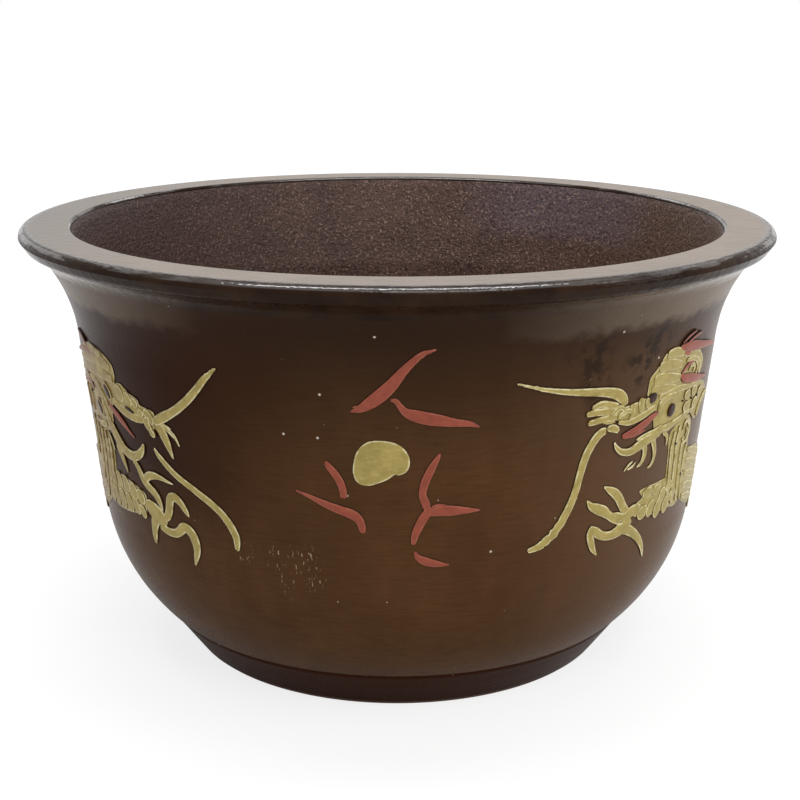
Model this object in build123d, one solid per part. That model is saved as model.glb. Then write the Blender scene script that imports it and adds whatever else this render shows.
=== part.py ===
from build123d import *
from math import asin, atan2, cos, hypot, pi, radians, sin, sqrt
import os

# A wide open jar of dark glazed stoneware, with two dragons and a flaming pearl laid on in clay slip.
# The origin is the centre of the foot's resting face. +Z is up, the pearl faces -Y, and +X is at its right.
# Lengths are millimetres and angles are degrees.

# Whole jar
jar_height = 302.0
rim_diameter = 520.0
wall_thickness = 16.0

# Rim collar
rim_face_width = 35.0
rim_edge_round = 5.5
mouth_edge_round = 3.0
rim_edge_height = 11.5
rim_edge_tuck = 4.0
collar_height = 22.4
collar_inset = 18.0

# Wall, from the collar down to the foot
neck_bend_radius = 112.0
neck_flare_angle = 33.3
belly_height = 109.5
belly_reach = 38.7

# Foot ring and floor
foot_height = 30.6
foot_diameter = 303.0
foot_spread = 21.0
foot_face_width = 21.0
foot_wall_width = 25.0
foot_recess = 12.0
foot_edge_round = 2.0

# Slip, trailed on the wall before firing
slip_thickness = 1.2
slip_clearance = 0.3
brush_width = 10.0

# The dragons' bodies, a wave round the wall, mirrored left and right
body_width = 40.0
tail_width = 9.0
body_start_angle = 75.0
body_end_angle = 174.0
panel_edge_angles = [75.0, 97.0, 119.0, 141.0, 163.0, 176.0]
wave_low_angle = 80.0
wave_turn_angle = 66.0
wave_middle_share = 0.52
wave_swing_share = 0.12
station_count = 7
front_reach_angle = 30.0
head_facing_angle = 48.0
edge_overrun_angle = 2.0

# Outlines on the wall. Each point is an azimuth, from the front and positive to the right, and a
# height as a share of the jar's. A stroke's third number is its width as a share of the brush's.
pearl_shares = [
    (-6.8, 0.615), (-6.2, 0.648), (-4.6, 0.670), (-2.2, 0.674), (0.2, 0.666), (1.6, 0.646), (1.9, 0.625),
    (1.4, 0.609), (0.3, 0.600), (-0.8, 0.600), (-2.2, 0.587), (-4.0, 0.580), (-5.7, 0.581), (-6.6, 0.594)]
flame_shares = {
    "flame_top": [
        (-6.5, 0.736, 0.30), (-4.6, 0.746, 0.70), (-2.6, 0.766, 0.85), (-0.9, 0.788, 0.80),
        (0.6, 0.814, 0.60), (2.2, 0.840, 0.45), (3.6, 0.855, 0.35), (5.3, 0.863, 0.10)],
    "flame_top_right": [
        (-1.1, 0.757, 0.25), (0.2, 0.738, 0.55), (2.0, 0.727, 0.75), (4.0, 0.721, 0.85), (6.0, 0.715, 0.78),
        (8.5, 0.711, 0.60), (10.8, 0.706, 0.38), (12.4, 0.696, 0.10)],
    "flame_left": [
        (-11.0, 0.625, 0.32), (-10.2, 0.611, 0.45), (-9.2, 0.594, 0.46), (-8.5, 0.576, 0.44),
        (-8.4, 0.550, 0.40)],
    "flame_left_low": [
        (-16.0, 0.560, 0.12), (-14.0, 0.550, 0.26), (-11.5, 0.537, 0.42), (-9.0, 0.525, 0.56),
        (-7.0, 0.516, 0.62), (-5.7, 0.503, 0.48), (-5.3, 0.482, 0.36)],
    "flame_right": [
        (6.5, 0.646, 0.18), (5.7, 0.628, 0.40), (4.7, 0.606, 0.46), (4.1, 0.580, 0.44), (4.2, 0.555, 0.44),
        (4.2, 0.530, 0.26)],
    "flame_right_low": [
        (4.7, 0.522, 0.50), (3.9, 0.503, 0.48), (3.1, 0.480, 0.42), (2.5, 0.452, 0.30)],
    "flame_right_leaf": [
        (5.0, 0.519, 0.30), (6.6, 0.522, 0.72), (8.5, 0.522, 0.66), (10.8, 0.522, 0.42), (13.1, 0.521, 0.10)],
    "flame_foot": [
        (2.8, 0.424, 0.34), (4.2, 0.414, 0.54), (6.0, 0.409, 0.44), (8.0, 0.405, 0.12)]}

right_upper_whisker_shares = [
    (17.9, 0.780, 0.10), (20.0, 0.770, 0.20), (23.0, 0.759, 0.30), (26.0, 0.751, 0.42), (29.0, 0.746, 0.50),
    (32.0, 0.741, 0.56), (34.5, 0.737, 0.60), (36.6, 0.728, 0.64), (37.7, 0.714, 0.58), (38.0, 0.700, 0.50)]
right_lower_whisker_shares = [
    (37.6, 0.646, 0.40), (35.8, 0.655, 0.60), (34.2, 0.653, 0.62), (32.8, 0.642, 0.60), (31.6, 0.619, 0.60),
    (30.8, 0.590, 0.58), (30.3, 0.560, 0.56), (29.7, 0.526, 0.58), (28.6, 0.492, 0.60), (27.0, 0.459, 0.60),
    (25.2, 0.435, 0.60), (23.6, 0.422, 0.48), (21.8, 0.418, 0.34)]
right_muzzle_shares = [
    (30.3, 0.700), (31.4, 0.716), (33.4, 0.723), (35.6, 0.717), (37.6, 0.704), (39.4, 0.700), (40.8, 0.709),
    (42.4, 0.717), (44.0, 0.710), (45.9, 0.692), (46.3, 0.674), (43.2, 0.659), (40.6, 0.657), (38.2, 0.662),
    (36.2, 0.671), (34.2, 0.674), (32.4, 0.677), (30.9, 0.676), (30.6, 0.688)]
right_tongue_shares = [
    (38.2, 0.640), (41.0, 0.648), (44.0, 0.656), (46.6, 0.661), (47.2, 0.653), (45.0, 0.637), (42.6, 0.630),
    (40.4, 0.624), (39.2, 0.629)]
right_jaw_shares = [
    (37.2, 0.624), (38.6, 0.614), (40.6, 0.616), (42.8, 0.624), (46.2, 0.630), (47.2, 0.616), (45.2, 0.606),
    (43.4, 0.591), (41.4, 0.582), (39.4, 0.591), (37.8, 0.608)]
right_skull_shares = [
    (46.4, 0.672), (46.0, 0.692), (44.3, 0.712), (43.4, 0.730), (43.8, 0.752), (45.4, 0.770), (46.6, 0.790),
    (48.6, 0.802), (51.8, 0.800), (53.6, 0.780), (57.0, 0.775), (60.4, 0.765), (61.9, 0.745), (61.8, 0.712),
    (64.4, 0.694), (67.6, 0.678), (69.0, 0.656), (66.0, 0.630), (63.0, 0.616), (60.0, 0.628), (56.6, 0.629),
    (53.8, 0.621), (52.2, 0.603), (50.0, 0.608), (47.6, 0.614), (46.6, 0.630), (47.4, 0.650)]
right_eye_shares = [(45.0, 0.702, 0.75), (51.4, 0.661, 0.85)]
right_horn_shares = [
    [(53.4, 0.729, 0.40), (56.0, 0.721, 0.62), (59.0, 0.712, 0.56), (62.5, 0.703, 0.36), (66.0, 0.697, 0.14)],
    [(51.8, 0.800, 0.36), (54.5, 0.794, 0.90), (58.0, 0.786, 0.74), (62.0, 0.778, 0.50), (66.5, 0.763, 0.30),
     (69.5, 0.752, 0.12)]]
right_beard_shares = [
    [(44.2, 0.604, 0.50), (44.9, 0.582, 0.42), (44.8, 0.564, 0.36), (43.8, 0.554, 0.16)],
    [(46.7, 0.610, 0.44), (47.8, 0.586, 0.40), (48.4, 0.562, 0.34), (47.6, 0.543, 0.14)],
    [(50.6, 0.608, 0.26), (51.6, 0.596, 0.26), (52.0, 0.576, 0.14)],
    [(40.4, 0.556, 0.20), (42.6, 0.567, 0.26)]]
right_neck_shares = [
    (53.0, 0.606), (55.2, 0.622), (59.4, 0.623), (62.6, 0.611), (62.2, 0.586), (61.6, 0.558), (64.0, 0.541),
    (68.0, 0.524), (73.0, 0.500), (78.0, 0.480), (80.0, 0.410), (78.0, 0.330), (72.0, 0.352), (66.0, 0.378),
    (61.0, 0.400), (57.0, 0.411), (54.0, 0.430), (53.6, 0.470), (53.2, 0.510), (52.8, 0.560)]
right_foreleg_shares = [
    (45.4, 0.494), (47.2, 0.496), (50.0, 0.499), (53.2, 0.502), (55.4, 0.470), (55.2, 0.426), (53.6, 0.414),
    (50.0, 0.418), (47.0, 0.424), (44.8, 0.434), (44.4, 0.452), (44.8, 0.470), (46.2, 0.476)]
right_paw_shares = [
    [(36.0, 0.527, 0.20), (37.8, 0.515, 0.58), (39.6, 0.498, 0.70), (40.8, 0.474, 0.62), (42.0, 0.445, 0.60)],
    [(32.7, 0.505, 0.24), (33.8, 0.489, 0.60), (35.8, 0.473, 0.78), (37.6, 0.458, 0.66), (41.4, 0.436, 0.80)],
    [(33.9, 0.443, 0.40), (34.8, 0.432, 0.66), (36.4, 0.417, 0.58), (38.8, 0.412, 0.56), (41.4, 0.424, 0.80)],
    [(33.9, 0.444, 0.48), (33.7, 0.424, 0.66), (34.5, 0.403, 0.62), (35.9, 0.380, 0.20)],
    [(40.4, 0.424, 0.80), (43.0, 0.417, 0.76), (45.2, 0.401, 0.66), (47.2, 0.380, 0.50), (48.5, 0.356, 0.34),
     (49.2, 0.330, 0.10)],
    [(40.6, 0.434, 0.70), (42.6, 0.452, 1.10), (44.8, 0.458, 0.90)]]

left_upper_whisker_shares = [
    (-28.3, 0.796, 0.20), (-30.0, 0.774, 0.44), (-32.0, 0.748, 0.50), (-34.0, 0.722, 0.52),
    (-36.0, 0.700, 0.54), (-38.0, 0.683, 0.56), (-40.0, 0.671, 0.56), (-42.0, 0.662, 0.50)]
left_lower_whisker_shares = [
    (-43.8, 0.590, 0.24), (-42.0, 0.572, 0.38), (-40.0, 0.554, 0.44), (-38.0, 0.540, 0.46),
    (-36.0, 0.528, 0.46), (-34.0, 0.516, 0.46), (-32.0, 0.503, 0.48), (-30.0, 0.486, 0.50),
    (-28.4, 0.463, 0.52), (-27.3, 0.438, 0.52), (-27.4, 0.413, 0.40)]
left_muzzle_shares = [
    (-57.0, 0.668), (-55.6, 0.690), (-54.6, 0.708), (-52.6, 0.713), (-50.6, 0.706), (-49.0, 0.700),
    (-47.0, 0.692), (-46.8, 0.680), (-45.2, 0.676), (-43.6, 0.676), (-42.4, 0.664), (-40.8, 0.655),
    (-40.6, 0.636), (-42.0, 0.624), (-43.4, 0.618), (-45.0, 0.627), (-46.0, 0.640), (-48.0, 0.640),
    (-50.4, 0.642), (-53.0, 0.652), (-55.4, 0.660)]
left_tongue_shares = [
    (-58.8, 0.658), (-56.0, 0.652), (-52.4, 0.636), (-49.3, 0.604), (-52.2, 0.614), (-54.8, 0.628),
    (-57.2, 0.643)]
left_jaw_shares = [
    (-55.2, 0.606), (-54.2, 0.584), (-52.4, 0.572), (-50.2, 0.570), (-48.4, 0.584), (-47.0, 0.593),
    (-46.4, 0.584), (-47.6, 0.565), (-49.2, 0.550), (-51.4, 0.545), (-53.6, 0.549), (-55.8, 0.560),
    (-57.4, 0.580)]
left_skull_shares = [
    (-53.9, 0.714), (-53.8, 0.738), (-55.4, 0.754), (-57.8, 0.767), (-60.6, 0.777), (-64.0, 0.777),
    (-67.6, 0.758), (-69.4, 0.724), (-68.6, 0.690), (-70.0, 0.660), (-68.0, 0.626), (-64.4, 0.600),
    (-60.2, 0.578), (-57.6, 0.574), (-55.6, 0.596), (-55.0, 0.612), (-56.2, 0.640), (-57.6, 0.664),
    (-56.0, 0.690)]
left_eye_shares = [(-56.9, 0.690, 0.90), (-62.2, 0.636, 1.00)]
left_horn_shares = [
    [(-63.0, 0.748, 0.40), (-66.0, 0.752, 0.62), (-69.0, 0.752, 0.56), (-72.5, 0.746, 0.20)],
    [(-64.6, 0.694, 0.40), (-67.0, 0.696, 0.62), (-70.0, 0.692, 0.50), (-73.0, 0.684, 0.20)]]
left_beard_shares = [
    [(-42.0, 0.632, 0.60), (-41.3, 0.612, 0.52), (-39.6, 0.583, 0.16)],
    [(-40.7, 0.642, 0.26), (-39.2, 0.630, 0.26), (-37.8, 0.612, 0.12)],
    [(-50.2, 0.552, 0.46), (-48.6, 0.526, 0.46), (-47.2, 0.504, 0.62), (-45.4, 0.492, 0.58),
     (-44.0, 0.474, 0.50), (-43.7, 0.452, 0.26)],
    [(-47.6, 0.508, 0.60), (-46.0, 0.521, 0.56), (-43.8, 0.527, 0.40), (-40.2, 0.523, 0.10)],
    [(-55.4, 0.572, 0.90), (-54.4, 0.540, 0.50), (-53.7, 0.512, 0.14)]]
left_neck_shares = [
    (-58.6, 0.556), (-60.2, 0.576), (-63.6, 0.594), (-67.4, 0.612), (-70.0, 0.590), (-73.0, 0.550),
    (-78.0, 0.500), (-80.0, 0.410), (-78.0, 0.330), (-72.0, 0.352), (-67.0, 0.378), (-62.6, 0.400),
    (-60.0, 0.424), (-59.2, 0.470), (-58.6, 0.510)]
left_foreleg_shares = [
    (-60.4, 0.492), (-56.0, 0.496), (-52.4, 0.490), (-49.4, 0.482), (-48.0, 0.466), (-48.4, 0.444),
    (-48.6, 0.424), (-51.0, 0.414), (-55.0, 0.406), (-59.0, 0.400), (-61.8, 0.404), (-62.6, 0.440)]
left_paw_shares = [
    [(-37.4, 0.461, 0.30), (-38.2, 0.476, 0.50), (-39.4, 0.492, 0.62), (-40.6, 0.498, 0.66)],
    [(-40.2, 0.497, 0.60), (-41.4, 0.485, 0.66), (-41.8, 0.464, 0.60), (-42.4, 0.442, 0.60),
     (-44.4, 0.430, 0.90)],
    [(-37.0, 0.350, 0.14), (-36.2, 0.374, 0.46), (-36.0, 0.400, 0.60), (-37.2, 0.422, 0.66),
     (-38.8, 0.437, 0.62)],
    [(-38.6, 0.438, 0.60), (-39.8, 0.424, 0.70), (-41.4, 0.411, 0.56), (-43.4, 0.411, 0.50),
     (-45.6, 0.424, 0.80)],
    [(-47.7, 0.372, 0.40), (-47.4, 0.392, 0.62), (-46.8, 0.412, 0.72), (-45.8, 0.434, 0.90)],
    [(-43.6, 0.430, 1.00), (-45.4, 0.440, 1.50), (-47.8, 0.446, 1.30)]]

# A hidden leg, from its hip: azimuth and height steps, and widths as shares of the brush's.
leg_shares = [(0.0, 0.0, 2.2), (2.2, -0.035, 2.0), (4.6, -0.070, 1.4), (6.4, -0.105, 1.1)]
toe_shares = [
    [(5.8, -0.100, 0.8), (8.6, -0.094, 0.7), (11.0, -0.106, 0.2)],
    [(6.0, -0.104, 0.8), (8.4, -0.116, 0.7), (9.8, -0.142, 0.2)],
    [(6.2, -0.100, 0.8), (6.6, -0.128, 0.7), (5.8, -0.156, 0.2)],
    [(6.4, -0.104, 0.8), (4.4, -0.118, 0.6), (2.6, -0.136, 0.2)]]
leg_places = {
    "far_foreleg": (1, 98.0, 0.545, 1),
    "hind_leg": (2, 135.0, 0.520, -1),
    "far_hind_leg": (3, 144.0, 0.440, 1)}


def at(radius, height):
    return Vector(radius, 0, height)


# Key points of the section, worked out from the sizes above
rim_radius = rim_diameter / 2
mouth_radius = rim_radius - rim_face_width
foot_radius = foot_diameter / 2
ring_bore_radius = foot_radius - foot_face_width
foot_joint = at(foot_radius + foot_spread, foot_height)
belly_top = foot_joint + at(belly_reach, belly_height - foot_height)
joint_height = jar_height - collar_height
collar_joint = at(rim_radius - collar_inset, joint_height)
flare = radians(neck_flare_angle)
neck_centre = collar_joint + at(neck_bend_radius * cos(flare), -neck_bend_radius * sin(flare))


def wall_lean():
    # How far the straight wall leans out, to run from the belly's top into the neck's bend
    to_centre = neck_centre - belly_top
    return atan2(to_centre.X, to_centre.Z) - asin(neck_bend_radius / to_centre.length)


taper = wall_lean()
down_wall = at(-sin(taper), -cos(taper))
into_jar = at(-cos(taper), sin(taper))


def belly_arc_radius():
    # The arc that leaves the straight wall smoothly and ends on the foot's top edge
    to_foot = foot_joint - belly_top
    return to_foot.length ** 2 / to_foot.dot(into_jar) / 2


belly_radius = belly_arc_radius()
belly_centre = belly_top + into_jar * belly_radius


def neck_point(angle, offset):
    # A point of the neck's hollow bend, moved out of the wall by offset
    radius = neck_bend_radius - offset
    return neck_centre + at(-radius * cos(angle), radius * sin(angle))


neck_end = neck_point(taper, 0)
foot_angle = atan2(belly_centre.Z - foot_joint.Z, foot_joint.X - belly_centre.X)


def belly_point(angle, offset):
    radius = belly_radius + offset
    return belly_centre + at(radius * cos(angle), -radius * sin(angle))


def wall_radius(height):
    # The wall's outer radius at a height
    if height > neck_end.Z:
        return neck_centre.X - sqrt(neck_bend_radius ** 2 - (height - neck_centre.Z) ** 2)
    if height > belly_top.Z:
        return neck_end.X - (neck_end.Z - height) * sin(taper) / cos(taper)
    return belly_centre.X + sqrt(belly_radius ** 2 - (height - belly_centre.Z) ** 2)


def neck_curve(offset):
    middle = (flare + taper) / 2
    return ThreePointArc(neck_point(flare, offset), neck_point(middle, offset), neck_point(taper, offset))


def straight_curve(offset):
    out = into_jar * -offset
    return Line(neck_end + out, belly_top + out)


def belly_curve(offset):
    middle = (taper + foot_angle) / 2
    return ThreePointArc(
        belly_point(taper, offset), belly_point(middle, offset), belly_point(foot_angle, offset))


# The inside of the wall, and where the mouth's cone meets the collar joint
inner_neck_end = neck_end + into_jar * wall_thickness
inner_belly_top = belly_top - at(wall_thickness / cos(taper), 0)
inner_foot = foot_joint - at(foot_wall_width, 0)
mouth_run = (jar_height - joint_height) / (jar_height - inner_neck_end.Z)
mouth_joint = at(mouth_radius - (mouth_radius - inner_neck_end.X) * mouth_run, joint_height)


def turned(*edges):
    return revolve(make_face(Curve() + list(edges)), Axis.Z)


def rim_collar():
    top_inner = at(mouth_radius, jar_height)
    top_outer = at(rim_radius - rim_edge_round, jar_height)
    widest = at(rim_radius, jar_height - rim_edge_round)
    crease = at(rim_radius - rim_edge_tuck, jar_height - rim_edge_height)
    section = turned(
        Line(mouth_joint, top_inner),
        Line(top_inner, top_outer),
        TangentArc(top_outer, widest, tangent=Vector(1, 0, 0)),
        Line(widest, crease),
        TangentArc(collar_joint, crease, tangent=Vector(sin(flare), 0, cos(flare))),
        Line(collar_joint, mouth_joint))
    mouth_edge = section.edges().filter_by(GeomType.CIRCLE).filter_by(
        lambda edge: abs(edge.radius - mouth_radius) < mouth_edge_round)
    return fillet(mouth_edge.sort_by(Axis.Z)[-1], mouth_edge_round)


def upper_wall():
    return turned(
        neck_curve(0),
        straight_curve(0),
        Line(belly_top, inner_belly_top),
        Line(inner_belly_top, inner_neck_end),
        Line(inner_neck_end, mouth_joint),
        Line(mouth_joint, collar_joint))


def lower_wall():
    return turned(
        belly_curve(0),
        Line(foot_joint, inner_foot),
        TangentArc(inner_belly_top, inner_foot, tangent=down_wall),
        Line(inner_belly_top, belly_top))


def foot_ring():
    ring = turned(
        Polyline(
            at(ring_bore_radius, 0),
            at(foot_radius, 0),
            foot_joint,
            at(ring_bore_radius, foot_height),
            close=True))
    resting_edges = ring.edges().group_by(Axis.Z)[0]
    return fillet(resting_edges, foot_edge_round)


def floor_slab():
    thickness = foot_height - foot_recess
    return Pos(0, 0, foot_recess) * Cylinder(
        ring_bore_radius, thickness, align=(Align.CENTER, Align.CENTER, Align.MIN))


def slip_shell(first, last):
    # The layer that slip lies in, between two azimuths
    inside = slip_clearance
    outside = slip_clearance + slip_thickness
    section = make_face(Curve() + [
        neck_curve(inside),
        straight_curve(inside),
        belly_curve(inside),
        Line(belly_point(foot_angle, inside), belly_point(foot_angle, outside)),
        belly_curve(outside),
        straight_curve(outside),
        neck_curve(outside),
        Line(neck_point(flare, outside), neck_point(flare, inside))])
    start = Rotation(0, 0, first - 90)
    return start * revolve(section, Axis.Z, last - first)


def on_wall(azimuth, share, facing):
    # A place on the wall, as it is seen from straight in front of the azimuth that facing names
    height = jar_height * share
    return (wall_radius(height) * sin(radians(azimuth - facing)), height)


def blob(shares, facing):
    # A dab of slip, cut with straight strokes of the knife from point to point
    return make_face(Polyline(*[on_wall(azimuth, share, facing) for azimuth, share in shares], close=True))


def stroke(shares, facing):
    middle = [on_wall(azimuth, share, facing) for azimuth, share, width in shares]
    above = []
    below = []
    for place, (azimuth, share, width) in enumerate(shares):
        ahead = middle[min(place + 1, len(middle) - 1)]
        behind = middle[max(place - 1, 0)]
        run = ahead[0] - behind[0]
        rise = ahead[1] - behind[1]
        reach = brush_width * width / 2 / hypot(run, rise)
        x, y = middle[place]
        above.append((x - rise * reach, y + run * reach))
        below.append((x + rise * reach, y - run * reach))
    return make_face(Polyline(*above, *reversed(below), close=True))


def strokes(several, facing):
    together = Sketch()
    for shares in several:
        together += stroke(shares, facing)
    return together


def dots(shares, facing):
    together = Sketch()
    for azimuth, share, width in shares:
        x, y = on_wall(azimuth, share, facing)
        together += Pos(x, y) * Circle(brush_width * width / 2)
    return together


def body_wave(azimuth):
    turn = 2 * pi * (azimuth - wave_low_angle) / wave_turn_angle
    share = wave_middle_share - wave_swing_share * cos(turn)
    gone = (azimuth - body_start_angle) / (body_end_angle - body_start_angle)
    width = body_width + (tail_width - body_width) * max(gone, 0)
    return share, width / brush_width


def body_stroke(first, last, side, facing):
    shares = []
    for station in range(station_count):
        azimuth = first + (last - first) * station / (station_count - 1)
        share, width = body_wave(azimuth)
        shares.append((side * azimuth, share, width))
    return stroke(shares, facing)


def leg(side, hip_azimuth, hip_share, forward, facing):
    together = Sketch()
    for shares in [leg_shares] + toe_shares:
        together += stroke(
            [(side * (hip_azimuth + forward * step), hip_share + rise, width) for step, rise, width in shares],
            facing)
    return together


def laid_on(faces, facing, shell):
    # Presses flat outlines onto the wall. Each one gives way to those named before it.
    turn = radians(facing)
    outward = Vector(sin(turn), -cos(turn), 0)
    view = Plane(origin=(0, 0, 0), x_dir=Vector(cos(turn), sin(turn), 0), z_dir=outward)
    pieces = {}
    taken = Sketch()
    for name, face in faces.items():
        kept = face - taken
        taken += face
        pieces[name] = shell & extrude(view * kept, rim_radius, dir=outward)
    return pieces


def front_slip():
    faces = {"pearl": blob(pearl_shares, 0)}
    for name, shares in flame_shares.items():
        faces[name] = stroke(shares, 0)
    return laid_on(faces, 0, slip_shell(-front_reach_angle, front_reach_angle))


def head_slip(side, tables, facing):
    # The head, neck and near foreleg of one dragon, the foremost pieces first
    eyes, tongue, muzzle, jaw, horns, skull, whisker_up, whisker_down, beard, paw, foreleg, neck = tables
    faces = {
        "eyes": dots(eyes, facing),
        "tongue": blob(tongue, facing),
        "muzzle": blob(muzzle, facing),
        "lower_jaw": blob(jaw, facing),
        "horns": strokes(horns, facing),
        "skull": blob(skull, facing),
        "upper_whisker": stroke(whisker_up, facing),
        "lower_whisker": stroke(whisker_down, facing),
        "beard": strokes(beard, facing),
        "forepaw": strokes(paw, facing),
        "foreleg": blob(foreleg, facing),
        "neck": blob(neck, facing)}
    near, far = sorted((0, side * panel_edge_angles[0]))
    return laid_on(faces, facing, slip_shell(near, far))


def body_slip(side):
    pieces = {}
    for panel, name in enumerate(["shoulder", "back", "loin", "haunch", "tail"]):
        first, last = panel_edge_angles[panel], panel_edge_angles[panel + 1]
        facing = side * (first + last) / 2
        stroke_end = body_end_angle if name == "tail" else last + edge_overrun_angle
        faces = {name: body_stroke(first - edge_overrun_angle, stroke_end, side, facing)}
        for leg_name, (leg_panel, hip_azimuth, hip_share, forward) in leg_places.items():
            if leg_panel == panel:
                faces[leg_name] = leg(side, hip_azimuth, hip_share, forward, facing)
        near, far = sorted((side * first, side * last))
        pieces.update(laid_on(faces, facing, slip_shell(near, far)))
    return pieces


right_head = [
    right_eye_shares, right_tongue_shares, right_muzzle_shares, right_jaw_shares, right_horn_shares,
    right_skull_shares, right_upper_whisker_shares, right_lower_whisker_shares, right_beard_shares,
    right_paw_shares, right_foreleg_shares, right_neck_shares]
left_head = [
    left_eye_shares, left_tongue_shares, left_muzzle_shares, left_jaw_shares, left_horn_shares,
    left_skull_shares, left_upper_whisker_shares, left_lower_whisker_shares, left_beard_shares,
    left_paw_shares, left_foreleg_shares, left_neck_shares]
jar = {
    "rim_collar": rim_collar(),
    "upper_wall": upper_wall(),
    "lower_wall": lower_wall(),
    "floor_slab": floor_slab(),
    "foot_ring": foot_ring()}
jar.update(front_slip())
for dragon, side, tables in (("right_dragon", 1, right_head), ("left_dragon", -1, left_head)):
    for name, piece in head_slip(side, tables, side * head_facing_angle).items():
        jar[dragon + "_" + name] = piece
    for name, piece in body_slip(side).items():
        jar[dragon + "_" + name] = piece

os.makedirs("parts", exist_ok=True)
for name, piece in jar.items():
    export_step(piece, "parts/" + name + ".step")
    print(name, len(piece.solids()), round(piece.volume / 1000, 2))
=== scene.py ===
from math import asin, atan2, ceil, cos, degrees, hypot, pi, radians, sin, sqrt

import bmesh
import bpy
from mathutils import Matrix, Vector, noise


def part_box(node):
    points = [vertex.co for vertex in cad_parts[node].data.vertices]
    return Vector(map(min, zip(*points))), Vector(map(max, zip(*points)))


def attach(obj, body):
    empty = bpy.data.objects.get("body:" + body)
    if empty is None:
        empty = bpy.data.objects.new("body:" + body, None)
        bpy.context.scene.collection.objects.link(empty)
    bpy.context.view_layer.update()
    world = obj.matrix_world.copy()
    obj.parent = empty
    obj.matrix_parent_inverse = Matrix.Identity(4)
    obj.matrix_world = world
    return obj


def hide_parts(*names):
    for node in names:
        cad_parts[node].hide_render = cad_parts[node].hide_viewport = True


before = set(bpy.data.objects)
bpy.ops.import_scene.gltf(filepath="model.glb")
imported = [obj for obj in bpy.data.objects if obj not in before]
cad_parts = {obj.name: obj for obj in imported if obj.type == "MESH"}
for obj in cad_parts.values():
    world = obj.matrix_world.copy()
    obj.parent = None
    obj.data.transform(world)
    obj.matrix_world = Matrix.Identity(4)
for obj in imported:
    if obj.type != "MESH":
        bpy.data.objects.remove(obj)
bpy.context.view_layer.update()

# A wide open stoneware jar, thrown in sections, trailed with coloured slip and dipped in brown glaze.
# Lengths are metres unless a name says mm. Azimuths are degrees from the front, positive to the right,
# and heights on the wall are shares of the jar's height, in percent.

mm = 0.001

# Sizes of the section, read from the frame
jar_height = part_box("rim_collar")[1].z
rim_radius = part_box("rim_collar")[1].x
joint_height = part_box("upper_wall")[1].z
belly_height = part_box("lower_wall")[1].z
belly_top_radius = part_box("lower_wall")[1].x
foot_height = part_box("foot_ring")[1].z
foot_top_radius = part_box("foot_ring")[1].x
ring_bore_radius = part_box("floor_slab")[1].x
floor_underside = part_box("floor_slab")[0].z

# Sizes that the frame's boxes don't give
rim_face_width = 35 * mm
rim_edge_round = 5.5 * mm
mouth_edge_round = 3 * mm
rim_edge_height = 11.5 * mm
rim_edge_tuck = 4 * mm
collar_inset = 18 * mm
neck_bend_radius = 112 * mm
neck_flare = radians(33.3)
wall_thickness = 16 * mm
foot_spread = 21 * mm
foot_wall_width = 25 * mm
foot_edge_round = 2 * mm
toe_lean = 0.4 * mm
foot_groove = 1.2 * mm
foot_groove_height = 2 * mm

# How far the hand-thrown jar strays inside the true turned shape
rim_sag = 1.3 * mm
rim_highest_azimuth = -140
wall_wander = 0.35 * mm
wander_lobes = 1.3
wander_lobes_per_metre = 6
throwing_ring_depth = 0.14 * mm
throwing_ring_step = 9 * mm
throwing_ring_lobes = 0.6
rim_trued_share = 0.2
floor_swirl = 0.6 * mm
floor_swirls_per_metre = 40

# How finely the thrown pieces are built, and which edges are crisp and which faces lie inside
turns_round = 288
arc_step = 2.5 * mm
fewest_arc_steps = 7
floor_rings = 12
shortest_edge = 0.05 * mm
weld = 0.01 * mm
sharp_edge = radians(38)
faces_up = 0.9
faces_in = 0.3

# Slip strokes. Heights, the dark lines round them and the steps along them are in mm.
slip_layer_names = ("inset", "across", "along", "on_slip")
slip_rise = 1.0
ground_rise = 0.6
detail_rise = 0.55
slip_sink = 0.15
layer_climb = 0.05
pit_lift_share = 0.8
pit_rise = 0.1
dark_line = 0.35
line_on_slip = 0.16
thinnest_stroke = 0.3
stroke_dome_share = 0.36
dab_dome_share = 0.4
bristle_run = 1.1
stroke_sides = 12
station_step = 1.5
fewest_stations = 6
most_stations = 90
end_crowding = 0.11
end_blunt = 0.02
slope_share = 0.01
flattest_wall = 0.4
shortest_reach = 1e-6


def point(radius, height):
    return Vector((radius, 0, height))


# Key points of the section
collar_joint = point(rim_radius - collar_inset, joint_height)
neck_centre = collar_joint + neck_bend_radius * point(cos(neck_flare), -sin(neck_flare))
belly_top = point(belly_top_radius, belly_height)
foot_joint = point(foot_top_radius, foot_height)
to_neck = neck_centre - belly_top
taper = atan2(to_neck.x, to_neck.z) - asin(neck_bend_radius / to_neck.length)
down_wall = point(-sin(taper), -cos(taper))
into_jar = point(-cos(taper), sin(taper))
to_foot = foot_joint - belly_top
belly_radius = to_foot.length_squared / to_foot.dot(into_jar) / 2
belly_centre = belly_top + belly_radius * into_jar
neck_end = neck_centre + neck_bend_radius * into_jar
inner_neck_end = neck_end + wall_thickness * into_jar
inner_belly_top = belly_top - point(wall_thickness / cos(taper), 0)
inner_foot = foot_joint - point(foot_wall_width, 0)
mouth_radius = rim_radius - rim_face_width
mouth_run = (jar_height - joint_height) / (jar_height - inner_neck_end.z)
mouth_joint = point(mouth_radius - (mouth_radius - inner_neck_end.x) * mouth_run, joint_height)
foot_radius = foot_top_radius - foot_spread


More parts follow.
